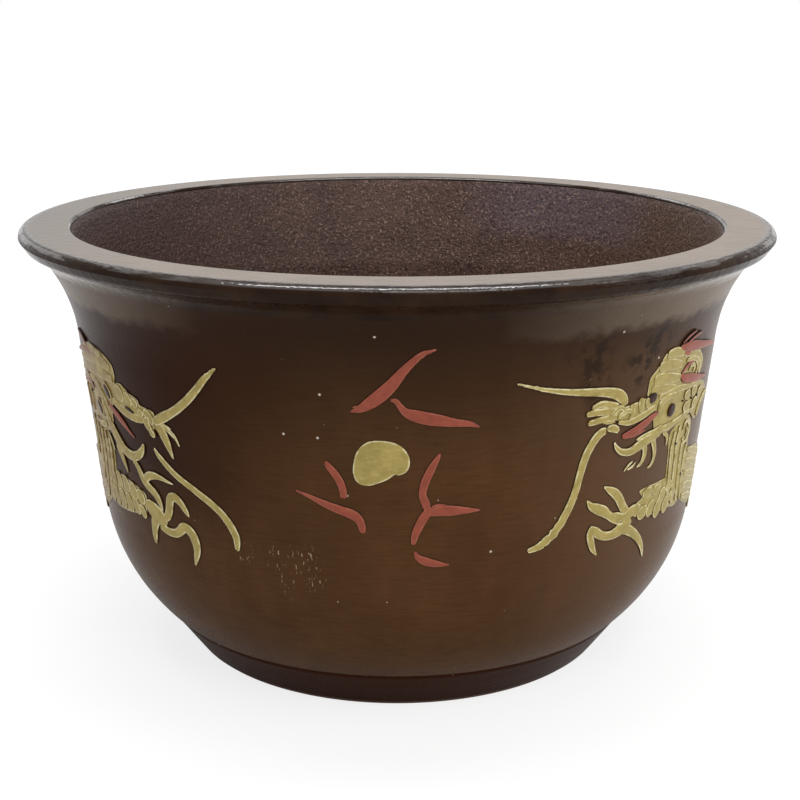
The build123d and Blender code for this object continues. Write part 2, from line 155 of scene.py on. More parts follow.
def wall_section(height):
    """The wall's outer radius at a height, and the outward direction there as radius and height parts."""
    if height > neck_end.z:
        drop = height - neck_centre.z
        radius = neck_centre.x - sqrt(neck_bend_radius ** 2 - drop ** 2)
        return radius, (neck_centre.x - radius) / neck_bend_radius, -drop / neck_bend_radius
    if height > belly_top.z:
        radius = neck_end.x - (neck_end.z - height) * sin(taper) / cos(taper)
        return radius, cos(taper), -sin(taper)
    drop = height - belly_centre.z
    radius = belly_centre.x + sqrt(belly_radius ** 2 - drop ** 2)
    return radius, (radius - belly_centre.x) / belly_radius, drop / belly_radius


def wander(azimuth, height):
    """How far the thrown wall strays from the turned shape at a place, in metres, never outwards."""
    turn = radians(azimuth)
    lobes = noise.noise(Vector((
        wander_lobes * sin(turn), wander_lobes * cos(turn), wander_lobes_per_metre * height)))
    rings = noise.noise(Vector((
        throwing_ring_lobes * sin(turn), throwing_ring_lobes * cos(turn), height / throwing_ring_step)))
    trued = max(rim_trued_share, min(1.0, (jar_height - height) / (jar_height - joint_height) / 2))
    return -trued * (wall_wander * (0.5 + 0.5 * lobes) + throwing_ring_depth * (1 + rings))


def rim_drop(azimuth, height):
    """The rim isn't quite level: it leans down to the front right, away from its highest place."""
    near_top = max(0.0, min(1.0, (height - belly_height) / (jar_height - belly_height)))
    lean = 0.5 - 0.5 * cos(radians(azimuth - rim_highest_azimuth))
    return -rim_sag * lean * near_top ** 2


def place(azimuth, height, lift):
    """A place on the outside of the thrown wall, lifted off it."""
    radius, out, up = wall_section(height)
    radius += out * lift + wander(azimuth, height)
    turn = radians(azimuth)
    return Vector((
        radius * sin(turn), -radius * cos(turn), height + up * lift + rim_drop(azimuth, height)))


def arc(centre, radius, start, end):
    """Points of a section's arc about a centre, from one angle to another, evenly spread."""
    steps = max(fewest_arc_steps, ceil(abs(end - start) * radius / arc_step))
    angles = [start + (end - start) * step / steps for step in range(steps + 1)]
    return [centre + radius * point(cos(angle), sin(angle)) for angle in angles]


def run(first, last):
    """Points of a section's straight stretch."""
    steps = max(1, ceil((last - first).length / arc_step))
    return [first.lerp(last, step / steps) for step in range(steps + 1)]


def leaving(start, direction, end):
    """Points of the arc that leaves a point in a direction and ends on another point."""
    side = point(-direction.z, direction.x)
    chord = end - start
    radius = chord.length_squared / chord.dot(side) / 2
    centre = start + radius * side
    first = atan2(start.z - centre.z, start.x - centre.x)
    last = atan2(end.z - centre.z, end.x - centre.x)
    if last - first > pi:
        last -= 2 * pi
    if first - last > pi:
        last += 2 * pi
    return arc(centre, abs(radius), first, last)


def new_piece(name, bm):
    mesh = bpy.data.meshes.new(name)
    bm.to_mesh(mesh)
    bm.free()
    piece = bpy.data.objects.new(name, mesh)
    bpy.context.scene.collection.objects.link(piece)
    return piece


def thrown(name, section):
    """A closed section of the wall, spun round the jar's axis and given the hand's wander."""
    bm = bmesh.new()
    corners = []
    for spot in section:
        if not corners or (spot - corners[-1].co).length > shortest_edge:
            corners.append(bm.verts.new(spot))
    edges = [bm.edges.new(pair) for pair in zip(corners, corners[1:] + corners[:1])]
    bmesh.ops.spin(
        bm, geom=corners + edges, axis=(0, 0, 1), cent=(0, 0, 0), angle=2 * pi, steps=turns_round,
        use_merge=True)
    bmesh.ops.remove_doubles(bm, verts=bm.verts, dist=weld)
    bmesh.ops.recalc_face_normals(bm, faces=bm.faces)
    for vertex in bm.verts:
        radius = hypot(vertex.co.x, vertex.co.y)
        if radius < mm:
            continue
        azimuth = degrees(atan2(vertex.co.x, -vertex.co.y))
        grown = 1 + wander(azimuth, vertex.co.z) / radius
        drop = rim_drop(azimuth, vertex.co.z)
        vertex.co = Vector((vertex.co.x * grown, vertex.co.y * grown, vertex.co.z + drop))
    finish_clay(bm)
    return new_piece(name, bm)


def finish_clay(bm):
    """Smooth faces between crisp edges. The second material goes on the inside, its bottom included."""
    bm.normal_update()
    for edge in bm.edges:
        edge.smooth = edge.calc_face_angle(0) < sharp_edge
    for face in bm.faces:
        face.smooth = True
        middle = face.calc_center_median()
        inwards = Vector((-middle.x, -middle.y, 0)).normalized()
        azimuth = degrees(atan2(middle.x, -middle.y))
        under_rim = middle.z - rim_drop(azimuth, middle.z) < jar_height - mouth_edge_round
        bottom = face.normal.z > faces_up and middle.z < belly_height
        face.material_index = int((face.normal.dot(inwards) > faces_in or bottom) and under_rim)


def rim_collar():
    crease = point(rim_radius - rim_edge_tuck, jar_height - rim_edge_height)
    outer_round = point(rim_radius - rim_edge_round, jar_height - rim_edge_round)
    mouth_lean = atan2(mouth_radius - mouth_joint.x, jar_height - joint_height)
    mouth_corner = point(mouth_radius, jar_height)
    mouth_centre = mouth_corner + mouth_edge_round * point(1, -1)
    slope = point(sin(mouth_lean), cos(mouth_lean))
    section = run(mouth_joint, mouth_corner - 2 * mouth_edge_round * slope)
    section += arc(mouth_centre, mouth_edge_round, pi - mouth_lean / 2, pi / 2)
    section += run(mouth_corner + point(mouth_edge_round, 0), point(outer_round.x, jar_height))
    section += arc(outer_round, rim_edge_round, pi / 2, 0)
    section += run(point(rim_radius, outer_round.z), crease)
    section += list(reversed(leaving(collar_joint, point(sin(neck_flare), cos(neck_flare)), crease)))
    section += run(collar_joint, mouth_joint)
    return thrown("rim_collar.glazed", section[:-1])


def upper_wall():
    section = arc(neck_centre, neck_bend_radius, pi - neck_flare, pi - taper)
    section += run(neck_end, belly_top)
    section += run(belly_top, inner_belly_top)
    section += run(inner_belly_top, inner_neck_end)
    section += run(inner_neck_end, mouth_joint)
    section += run(mouth_joint, collar_joint)
    return thrown("upper_wall.glazed", section[:-1])


def lower_wall():
    section = leaving(belly_top, down_wall, foot_joint)
    section += run(foot_joint, inner_foot)
    section += list(reversed(leaving(inner_belly_top, down_wall, inner_foot)))
    section += run(inner_belly_top, belly_top)
    return thrown("lower_wall.glazed", section[:-1])


def foot_ring():
    toe = point(foot_radius, 0)
    section = run(point(ring_bore_radius, 0) + point(foot_edge_round, 0), toe - point(foot_edge_round, 0))
    groove_low = foot_joint - point(foot_groove, foot_groove_height)
    section += run(toe + point(toe_lean, foot_edge_round), groove_low)
    section += run(foot_joint - point(foot_groove, 0), foot_joint)
    section += run(foot_joint, point(ring_bore_radius, foot_height))
    section += run(point(ring_bore_radius, foot_height), point(ring_bore_radius, foot_edge_round))
    return thrown("foot_ring.glazed", section)


def floor_slab():
    bm = bmesh.new()
    bmesh.ops.create_circle(bm, cap_ends=True, segments=turns_round, radius=ring_bore_radius)
    rim = bm.faces[:]
    ring_width = ring_bore_radius / (floor_rings + 1)
    for _ in range(floor_rings):
        bmesh.ops.inset_region(bm, faces=rim, thickness=ring_width, use_even_offset=True)
    top = bmesh.ops.extrude_face_region(bm, geom=bm.faces[:])
    raised = [item for item in top["geom"] if isinstance(item, bmesh.types.BMVert)]
    for vertex in bm.verts:
        vertex.co.z = floor_underside
    for vertex in raised:
        swirl = noise.noise(Vector((vertex.co.x, vertex.co.y, 0)) * floor_swirls_per_metre)
        vertex.co.z = foot_height - floor_swirl * (0.5 + 0.5 * swirl)
    bmesh.ops.recalc_face_normals(bm, faces=bm.faces)
    for face in bm.faces:
        face.smooth = abs(face.normal.z) > 0.5
        face.material_index = int(face.normal.z > 0.5)
    return new_piece("floor_slab.glazed", bm)


def curve_at(before, start, end, after, t):
    """A place on the smooth curve through four points, t going from 0 at the second to 1 at the third."""
    return tuple(
        0.5 * (2 * b + (c - a) * t + (2 * a - 5 * b + 4 * c - d) * t * t + (3 * b - a - 3 * c + d) * t ** 3)
        for a, b, c, d in zip(before, start, end, after))


def smooth_through(points, share):
    """A place on the smooth curve through given points, from 0 at the first to 1 at the last."""
    along = share * (len(points) - 1)
    first = min(int(along), len(points) - 2)
    four = [points[max(0, min(len(points) - 1, first + step))] for step in (-1, 0, 1, 2)]
    return curve_at(*four, along - first)


def smooth_round(points, turn):
    """A place on the smooth closed curve through given points, turn going from 0 to 1 round it."""
    count = len(points)
    along = (turn % 1.0) * count
    first = int(along) % count
    four = [points[(first + step) % count] for step in (-1, 0, 1, 2)]
    return curve_at(*four, along - int(along))


def step_on_wall(azimuth, percent, across_mm, up_mm):
    """The azimuth and height that lie a step away, measured on the wall in millimetres."""
    height = jar_height * percent / 100
    radius, out = wall_section(height)[:2]
    return azimuth + degrees(across_mm * mm / radius), height + up_mm * mm * abs(out)


def run_on_wall(first, last):
    """The run on the wall from one place to another, in millimetres."""
    height = jar_height * (first[1] + last[1]) / 200
    radius, out = wall_section(height)[:2]
    return (
        radians(last[0] - first[0]) * radius / mm,
        jar_height * (last[1] - first[1]) / 100 / mm / max(abs(out), flattest_wall))


def slip_layers(bm):
    """How far in from the edge, across and along the pull, in mm, and whether it lies on other slip."""
    return [bm.verts.layers.float.new(name) for name in slip_layer_names]


def add_into(bm, part):
    """Moves a finished stroke or dab into its piece."""
    bmesh.ops.recalc_face_normals(part, faces=part.faces)
    mesh = bpy.data.meshes.new("stroke")
    part.to_mesh(mesh)
    part.free()
    bm.from_mesh(mesh)
    bpy.data.meshes.remove(mesh)


def stroke(bm, points, base=0.0, rise=slip_rise, line=dark_line, over=0.0):
    """One pull of a loaded slip brush: a domed ribbon that follows the points.

    A point is an azimuth, a height, a width in mm and, if given, how dry the brush ran there.
    """
    points = [tuple(spot) + (0.0,) * (4 - len(spot)) for spot in points]
    length = sum(hypot(*run_on_wall(a, b)) for a, b in zip(points, points[1:]))
    stations = max(fewest_stations, min(most_stations, ceil(length / station_step)))
    part = bmesh.new()
    bmesh.ops.create_cone(part, cap_ends=True, segments=stroke_sides, radius1=1, radius2=1, depth=2)
    sides = [edge for edge in part.edges if abs(edge.verts[0].co.z - edge.verts[1].co.z) > 1]
    bmesh.ops.subdivide_edges(part, edges=sides, cuts=stations - 1)
    inset, across, along, on_slip = slip_layers(part)
    for vertex in part.verts:
        share = (vertex.co.z + 1) / 2
        share -= end_crowding * sin(2 * pi * share)
        azimuth, percent, width, dry = smooth_through(points, share)
        ahead = smooth_through(points, min(1, share + slope_share))
        behind = smooth_through(points, max(0, share - slope_share))
        run_across, run_up = run_on_wall(behind, ahead)
        reach = max(hypot(run_across, run_up), shortest_reach)
        half = max(width, thinnest_stroke) / 2
        from_end = length * min(share, 1 - share)
        if from_end < half:
            half *= sqrt(max(end_blunt, 1 - (1 - from_end / half) ** 2))
        x, y = vertex.co.x, vertex.co.y
        if dry > 0:
            bristle = noise.noise(Vector((share * length / bristle_run, azimuth + sign(x), 0)))
            half *= 1 + dry * bristle
        edge = min(half + line, 2 * half + 0.1)
        offset = x * edge
        spot = step_on_wall(azimuth, percent, -run_up / reach * offset, run_across / reach * offset)
        if y > 0.01:
            lift = base + min(rise, stroke_dome_share * half) * sqrt(max(0, 1 - x ** 4))
        elif y < -0.01:
            lift = -slip_sink
        else:
            lift = base * 0.5
        vertex[inset] = (1 - abs(x)) * edge - (edge - half) if y > -0.01 else half - edge
        vertex[across] = offset
        vertex[along] = share * length
        vertex[on_slip] = over
        vertex.co = place(*spot, lift * mm)
    add_into(bm, part)


def sign(value):
    return 1 if value > 0 else -1


def dab(bm, outline, base=0.0, rise=slip_rise, line=dark_line, over=0.0, sides=32, rings=10, dark=False):
    """A rounded dab of slip inside an outline of azimuths and heights."""
    middle = tuple(sum(spot[axis] for spot in outline) / len(outline) for axis in (0, 1))
    part = bmesh.new()
    bmesh.ops.create_uvsphere(part, u_segments=sides, v_segments=rings, radius=1)
    inset, across, along, on_slip = slip_layers(part)
    for vertex in part.verts:
        x, y, z = vertex.co
        out = min(1.0, hypot(x, y))
        turn = atan2(y, x) / (2 * pi)
        edge_across, edge_up = run_on_wall(middle, smooth_round(outline, turn))
        half = max(hypot(edge_across, edge_up), shortest_reach)
        grown = out * (half + line) / half
        spot = step_on_wall(*middle, edge_across * grown, edge_up * grown)
        dome = base + min(rise, dab_dome_share * half) * max(z, 0) ** 0.7
        vertex[inset] = -line if dark or z < -0.01 else (1 - out) * (half + line) - line
        vertex[across] = edge_up * grown
        vertex[along] = edge_across * grown
        vertex[on_slip] = over
        vertex.co = place(*spot, (dome if z > -0.01 else -slip_sink) * mm)
    add_into(bm, part)


def oval(azimuth, percent, long_mm, short_mm=None, tilt=0.0, points=8):
    """The outline of an oval of slip, in azimuths and heights. Its long way is tilted up from the level."""
    short_mm = short_mm or 0.8 * long_mm
    height = jar_height * percent / 100
    radius, out = wall_section(height)[:2]
    outline = []
    for step in range(points):
        turn = 2 * pi * step / points
        x = long_mm / 2 * cos(turn)
        y = short_mm / 2 * sin(turn)
        lean = radians(tilt)
        across_mm = x * cos(lean) - y * sin(lean)
        up_mm = x * sin(lean) + y * cos(lean)
        outline.append((
            azimuth + degrees(across_mm * mm / radius),
            percent + up_mm * mm * abs(out) / jar_height * 100))
    return outline


def slip_piece(drawing, base=0.0):
    """All the slip of one named piece: its ground first, then strokes, knobs and pits laid over it.

    Each one lies a little higher than the one laid before it.
    """
    bm = bmesh.new()
    slip_layers(bm)
    lift = base
    for outline in drawing.get("ground", ()):
        dab(bm, outline, lift, ground_rise, sides=56)
        lift += layer_climb
    for points in drawing.get("broad", ()):
        stroke(bm, points, lift, ground_rise)
        lift += layer_climb
    grounded = "ground" in drawing or "broad" in drawing
    if grounded:
        lift = base + ground_rise
    line = line_on_slip if grounded else dark_line
    rise = detail_rise if grounded else slip_rise
    for points in drawing.get("strokes", ()):
        stroke(bm, points, lift, rise, line, float(grounded))
        lift += layer_climb
    for knob in drawing.get("knobs", ()):
        dab(bm, oval(*knob), lift, rise, line, float(grounded), sides=16, rings=8)
        lift += layer_climb / 2
    for pit in drawing.get("pits", ()):
        dab(bm, oval(*pit), lift + detail_rise * pit_lift_share, pit_rise, sides=12, rings=4, dark=True)
    return bm


def laid(bm, node, material):
    """Gives a slip piece its material and its body, names it after the node that it stands for and hides that
    node.
    """
    for face in bm.faces:
        face.smooth = True
    piece = new_piece(node + ".slip", bm)
    piece.data.materials.append(material)
    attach(piece, "root")
    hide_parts(node)
    return piece


def linear(code, alpha=1.0):
    """An sRGB hex colour as Blender's linear values."""
    values = [int(code[start:start + 2], 16) / 255 for start in (1, 3, 5)]
    return tuple(v / 12.92 if v <= 0.04045 else ((v + 0.055) / 1.055) ** 2.4 for v in values) + (alpha,)


def add(tree, kind, inputs=None, **settings):
    """Adds a node, sets its properties, and sets or links its inputs. Gives its outputs."""
    made = tree.nodes.new("ShaderNode" + kind)
    for name, value in settings.items():
        setattr(made, name, value)
    for name, value in (inputs or {}).items():
        if isinstance(value, bpy.types.NodeSocket):
            tree.links.new(value, made.inputs[name])
        else:
            made.inputs[name].default_value = value
    return made.outputs


def new_material(name):
    material = bpy.data.materials.new(name)
    material.use_nodes = True
    material.node_tree.nodes.clear()
    return material, material.node_tree


def grain(tree, coordinates, size_mm, detail=3.0, squeeze=(1, 1, 1), roughness=0.55):
    """Noise whose patches measure about size_mm, squeezed along the axes."""
    mapped = add(tree, "Mapping", {"Vector": coordinates, "Scale": squeeze})[0]
    return add(tree, "TexNoise", {
        "Vector": mapped, "Scale": 1 / (size_mm * mm), "Detail": detail, "Roughness": roughness})[0]


def ragged(tree, value, coordinates, size_mm, reach, detail=3.0):
    """A value that grain pushes about within a reach, so that a zone of it gets a ragged edge."""
    pushed = grain(tree, coordinates, size_mm, detail)
    return add(tree, "Math", {0: pushed, 1: reach, 2: value}, operation="MULTIPLY_ADD")[0]


def zone(tree, *bounds):
    """How fully a place lies in a zone, from 0 to 1: the product of the zone's bounds.

    A bound is a share already, or a value with where the zone begins, where it is full and, if given, how
    much of it shows.
    """
    share = None
    for bound in bounds:
        if isinstance(bound, tuple):
            value, begins, full, most = (*bound, 1.0)[:4]
            bound = add(tree, "MapRange", {
                "Value": value, "From Min": begins, "From Max": full, "To Max": most})[0]
        share = bound if share is None else add(tree, "Math", {0: share, 1: bound}, operation="MULTIPLY")[0]
    return share


def coated(tree, color, coats):
    """A colour with others laid over it in turn, each as fully as its share says."""
    color = linear(color)
    for share, over in coats:
        if isinstance(over, str):
            over = linear(over)
        color = add(tree, "Mix", {0: share, 6: color, 7: over}, data_type="RGBA")[2]
    return color


def near(tree, coordinates, spot, reach_mm):
    """1 at a spot and round it, falling to 0 at a distance from it."""
    away = add(tree, "VectorMath", {0: coordinates, 1: tuple(spot)}, operation="DISTANCE")["Value"]
    return zone(tree, (away, reach_mm * mm, reach_mm * mm * spot_core_share))


def near_wall_place(tree, coordinates, azimuth, percent, reach_mm):
    return near(tree, coordinates, place(azimuth, jar_height * percent / 100, 0), reach_mm)


def surface(material, tree, color, roughness, specular, bumps):
    """Glazed clay: a glossy shader with the given bumps, each a height, a depth in mm and a strength."""
    normal = None
    for height, depth_mm, strength in bumps:
        inputs = {"Height": height, "Distance": depth_mm * mm, "Strength": strength}
        if normal is not None:
            inputs["Normal"] = normal
        normal = add(tree, "Bump", inputs)[0]
    shader = add(tree, "BsdfPrincipled", {
        "Base Color": color, "Roughness": roughness, "IOR": glaze_ior, "Specular IOR Level": specular,
        "Normal": normal})[0]
    add(tree, "OutputMaterial", {"Surface": shader})
    return material


def brown_glaze():
    # Iron-brown glaze, dipped: clouded light and dark where it ran thick or thin, a painted dark reflection
    # across the upper wall, painted shade on the left shoulder, painted light on the right below the shoulder
    # and a painted sheen on the neck, a dark foot, faint marks of the wheel, ragged dark patches, worn
    # scratches, a few pale specks and pin marks, one painted glint, and bare clay where the foot was wiped
    material, tree = new_material("iron_brown_glaze")
    place_on = add(tree, "TexCoord")["Object"]
    sideways, _, height = add(tree, "SeparateXYZ", {0: place_on})[:3]
    clouds = zone(tree, (grain(tree, place_on, 60), 0.36, 0.66))
    runs = zone(tree, (grain(tree, place_on, 22, squeeze=(1, 1, 0.35)), 0.44, 0.68, 0.4))
    threads = zone(tree, (grain(tree, place_on, 1.5, squeeze=(0.1, 0.1, 1)), 0.45, 0.75, 0.45))
    fine = grain(tree, place_on, 1.4, detail=2)
    patch_mask = zone(tree, (grain(tree, place_on, 9, detail=5, roughness=0.7), 0.46, 0.56, 0.75))
    scratches = zone(tree, (grain(tree, place_on, 1.1, squeeze=(1, 1, 0.24)), 0.63, 0.68, 0.85))
    cells = add(tree, "TexVoronoi", {"Vector": place_on, "Scale": 1 / (6 * mm)})
    chosen = add(tree, "SeparateColor", {0: cells["Color"]})[0]
    specks = zone(tree, (chosen, 0.955, 0.96), (cells["Distance"], 0.09, 0.06))
    coats = [
        (clouds, "#51361E"),
        (runs, "#5A3C24"),
        (threads, "#38230F"),
        # painted dark reflection across the upper wall
        (zone(tree, (height, *painted_dark_band)), "#2A1A0F"),
        # painted shade on the left shoulder
        (zone(tree, (sideways, *painted_shade_left), (height, *painted_shade_left_rising)), "#2C1304"),
        # painted light on the right, below the shoulder
        (zone(tree, (sideways, *painted_light_right), (height, *painted_light_right_falling)), "#644C38"),
        # painted sheen on the neck
        (painted_neck_sheen(tree, sideways, height, place_on), "#7C6C5C")]
    coats += [
        (zone(tree, patch_mask, near_wall_place(tree, place_on, *patch)), "#23170F") for patch in dark_patches]
    coats += [
        (zone(tree, (height, foot_height + 0.6 * mm, foot_height - 0.4 * mm)), "#331808"),
        (specks, "#A89C8C")]
    coats += [
        (zone(tree, scratches, near_wall_place(tree, place_on, *spot)), "#A8947A") for spot in worn_spots]
    # pale pin marks, and one painted glint
    coats += [
        (near_wall_place(tree, place_on, *mark, pale_mark_and_glint_mm), "#C8BCAC") for mark in pale_marks_and_glint]
    coats += [
        (zone(tree, (height, *bare_clay)), "#6E5040")]
    color = coated(tree, "#4A301A", coats)
    roughness = add(tree, "MapRange", {"Value": fine, "To Min": 0.16, "To Max": 0.34})[0]
    return surface(material, tree, color, roughness, thin_glaze_specular, [
        (grain(tree, place_on, 5, detail=2), 0.14, 0.5), (threads, 0.10, 0.6), (fine, 0.05, 0.5)])


def painted_neck_sheen(tree, sideways, height, place_on):
    """A painted sheen on the neck, standing for the reflection of bright surroundings: broadly on the right,
    less on the left.
    """
    across = ragged(tree, sideways, place_on, 30, 30 * mm, detail=2)
    right = zone(tree, (across, *painted_sheen_right))
    left = zone(tree, (across, *painted_sheen_left))
    sides = add(tree, "Math", {0: right, 1: left}, operation="MAXIMUM")[0]
    return zone(tree, sides, (ragged(tree, height, place_on, 16, 16 * mm, detail=4), *painted_sheen_rising))


def inner_glaze():
    # The same glaze inside, thin over coarse clay: a pebbled skin whose tops catch the light, with painted
    # glints scattered over it, fewer on the left, darker on the left, redder on the right, with a cool patch
    # at the back right
    material, tree = new_material("pebbled_inner_glaze")
    place_on = add(tree, "TexCoord")["Object"]
    sideways, _, height = add(tree, "SeparateXYZ", {0: place_on})[:3]
    pebbles = grain(tree, place_on, 2.6, detail=4, roughness=0.66)
    fewer_glints_left = add(tree, "MapRange", {
        "Value": sideways, "From Min": -0.20, "From Max": 0.04, "To Min": 0.35})[0]
    cool_patch = near(tree, place_on, cool_patch_middle, cool_patch_reach_mm)
    color = coated(tree, "#482E26", [
        (zone(tree, (grain(tree, place_on, 45), 0.35, 0.68)), "#5A3F35"),
        (zone(tree, (sideways, *inside_redder)), "#5A3C26"),
        (zone(tree, (sideways, *inside_dark)), "#341F19"),
        (zone(tree, cool_patch, (height, *cool_patch_rising)), "#6A5C68"),
        # painted glints: pale specks standing for highlights on the pebbles, fewer to the left
        (zone(tree, fewer_glints_left, (grain(tree, place_on, 1.9), 0.57, 0.65, 0.8)), "#9A8070"),
        (zone(tree, (pebbles, 0.47, 0.37, 0.85)), "#2B1912")])
    return surface(material, tree, color, 0.3, 0.3, [(pebbles, 1.8, 0.9)])


def rim_glaze():
    # The glaze on the rim: pooled thick and glassy on the roll of its edge, in streaks at the sides, dark
    # below it, and wiped thin and satin on its face, with painted shade over the face's left side and the
    # neck's painted sheen below the crease
    material, tree = new_material("wiped_rim_glaze")
    place_on = add(tree, "TexCoord")["Object"]
    sideways, _, height = add(tree, "SeparateXYZ", {0: place_on})[:3]
    normal_up = add(tree, "SeparateXYZ", {0: add(tree, "NewGeometry")["Normal"]})[2]
    facing_up = ragged(tree, normal_up, place_on, 8, 0.06)
    flat = add(tree, "VectorMath", {0: place_on, 1: (1, 1, 0)}, operation="MULTIPLY")[0]
    radius = add(tree, "VectorMath", {0: flat}, operation="LENGTH")["Value"]
    round_marks = add(tree, "CombineXYZ", {0: radius, 2: height})[0]
    marks = grain(tree, round_marks, 1.4, detail=4)
    waves = grain(tree, place_on, 7, detail=2, squeeze=(1, 1, 1.4))
    clouds = zone(tree, (grain(tree, place_on, 24), 0.35, 0.68))
    run_over = ragged(tree, radius, place_on, 9, 4 * mm)
    on_face = zone(
        tree, (facing_up, 0.99, 1.005), (run_over, rim_radius - 2.5 * mm, rim_radius - 7 * mm))
    face = coated(tree, "#63523F", [
        (clouds, "#725F4D"),
        # painted shade on the left of the rim face
        (zone(tree, (sideways, *rim_face_painted_shade_left)), "#544A40"),
        (zone(tree, (marks, 0.5, 0.7, 0.35)), "#5E5046")])
    crease_height = jar_height - rim_edge_height
    below_crease = (height, crease_height - 2 * mm, crease_height - 3.5 * mm)
    color = coated(tree, "#22150D", [
        (clouds, "#302015"),
        (on_face, face),
        # the neck's painted sheen, below the rim's crease
        (zone(tree, painted_neck_sheen(tree, sideways, height, place_on), below_crease), "#7C6C5C")])
    streaks = zone(tree, (grain(tree, place_on, 13, squeeze=(0.45, 0.45, 3.4)), 0.44, 0.56))
    aside = add(tree, "Math", {0: sideways}, operation="ABSOLUTE")[0]
    unbroken = zone(tree, (aside, *unbroken_gloss))
    glassy = add(tree, "Math", {0: streaks, 1: unbroken}, operation="MAXIMUM")[0]
    on_roll = zone(tree, (facing_up, 0.50, 0.64), (facing_up, 0.96, 0.90), glassy)
    satin = add(tree, "MapRange", {"Value": on_face, "To Min": thin_glaze_specular, "To Max": 0.5})[0]
    specular = add(
        tree, "Math", {0: on_roll, 1: pooled_glaze_specular, 2: satin}, operation="MULTIPLY_ADD")[0]
    roughness = add(tree, "MapRange", {"Value": on_face, "To Min": 0.07, "To Max": 0.38})[0]
    return surface(material, tree, color, roughness, specular, [(marks, 0.08, 0.5), (waves, 0.55, 0.85)])


def slip_material(name, body, shade, edge, edge_share, line_on_slip_color):
    # Coloured clay slip under clear glaze: bristle marks along the pull, a broken pale rim along its edges,
    # and a thin dark line round it. Far to the left, on its front, it is painted darker and browner, as
    # shade.
    material, tree = new_material(name)
    place_on = add(tree, "TexCoord")["Object"]
    inset, across, along, on_slip = [
        add(tree, "Attribute", attribute_name=layer)["Fac"] for layer in slip_layer_names]
    sideways, depth = add(tree, "SeparateXYZ", {0: place_on})[:2]
    pull = add(tree, "CombineXYZ", {0: across, 1: along})[0]
    bristles = add(tree, "Mapping", {"Vector": pull, "Scale": (1.5, 0.14, 1)})[0]
    streaks = add(tree, "TexNoise", {"Vector": bristles, "Scale": 1.0, "Detail": 3.0})[0]
    patches = (grain(tree, place_on, 7, detail=4), 0.36, 0.66, 0.7)
    broken = (grain(tree, place_on, 5, detail=4), 0.36, 0.58)
    blotched = (grain(tree, place_on, 8), 0.3, 0.6)
    line = coated(tree, "#24140A", [(on_slip, line_on_slip_color)])
    color = coated(tree, body, [
        (zone(tree, patches), shade),
        (zone(tree, (streaks, 0.42, 0.70, 0.5)), shade),
        (zone(tree, (streaks, 0.40, 0.25, edge_share / 2)), edge),
        (zone(tree, (inset, 1.15, 0.5, edge_share), broken), edge),
        # painted shade: darker and browner far to the left, on the front
        (zone(tree, (sideways, *painted_shade_slip_left), (depth, *painted_shade_slip_front), blotched), "#7E5A38"),
        (zone(tree, (inset, 0.06, -0.10)), line)])
    return surface(material, tree, color, 0.34, 0.2, [
        (streaks, 0.18, 0.6), (grain(tree, place_on, 1.2, detail=2), 0.06, 0.5)])


def dark_slip():
    # Dark iron slip for the eyes, mottled brown under thin glaze
    material, tree = new_material("dark_iron_slip")
    place_on = add(tree, "TexCoord")["Object"]
    spots = zone(tree, (grain(tree, place_on, 2.2), 0.4, 0.65))
    color = coated(tree, "#20130E", [(spots, "#42261B")])
    return surface(material, tree, color, 0.25, 0.15, [(grain(tree, place_on, 1.5), 0.1, 0.5)])


# Zones of the glaze, in metres up the jar or to its right: where each begins, where it is full and, if
# given, how much of it shows
# painted dark reflection across the upper wall
painted_dark_band = (0.175, 0.268, 0.92)
# painted shade on the left shoulder
painted_shade_left = (-0.05, -0.14)
painted_shade_left_rising = (0.115, 0.170, 0.95)
# painted light on the right, below the shoulder
painted_light_right = (0.06, 0.19)
painted_light_right_falling = (0.27, 0.22, 0.7)
# painted sheen on the neck
painted_sheen_right = (0.075, 0.215, 0.85)
painted_sheen_left = (-0.10, -0.19, 0.62)
painted_sheen_rising = (0.2665, 0.2735)
bare_clay = (0.0030, 0.0018)
inside_redder = (0.11, 0.22, 0.7)
inside_dark = (-0.02, -0.20, 0.8)
# painted shade on the left of the rim face
rim_face_painted_shade_left = (-0.12, -0.25, 0.9)
unbroken_gloss = (0.15, 0.08)
cool_patch_middle = (0.13, 0.16, 0.285)
cool_patch_reach_mm = 95
cool_patch_rising = (0.254, 0.266, 0.45)
# painted shade on the slip far to the left, on the front
painted_shade_slip_left = (-0.165, -0.20)
painted_shade_slip_front = (0.0, -0.03, 0.8)

# Where the glaze is worn pale in upright scratches: azimuth, percent of the height and reach in mm
worn_spots = [
    (-15.5, 40.5, 14), (-20.5, 41.0, 11), (-26.0, 40.8, 9), (-17.9, 36.8, 12), (-18.1, 33.3, 8),
    (-13.3, 35.8, 9)]
# Where the glaze is darker in ragged patches, and small pale pin marks
dark_patches = [
    (29.8, 83.0, 22), (32.0, 75.7, 16), (40.6, 77.9, 18), (42.5, 81.8, 16),
    (45.7, 84.1, 14), (61.9, 77.2, 16)]
# the mark at (-7.8, 55.6) is a painted glint, the others pale pin marks
pale_marks_and_glint = [
    (-11.5, 76.5), (-17.5, 67.8), (-12.1, 67.5), (-3.1, 89.0), (15.3, 42.7), (-7.8, 55.6), (35.1, 86.6),
    (45.4, 78.8)]
pale_mark_and_glint_mm = 1
spot_core_share = 0.45
glaze_ior = 1.5
thin_glaze_specular = 0.05
pooled_glaze_specular = 0.9

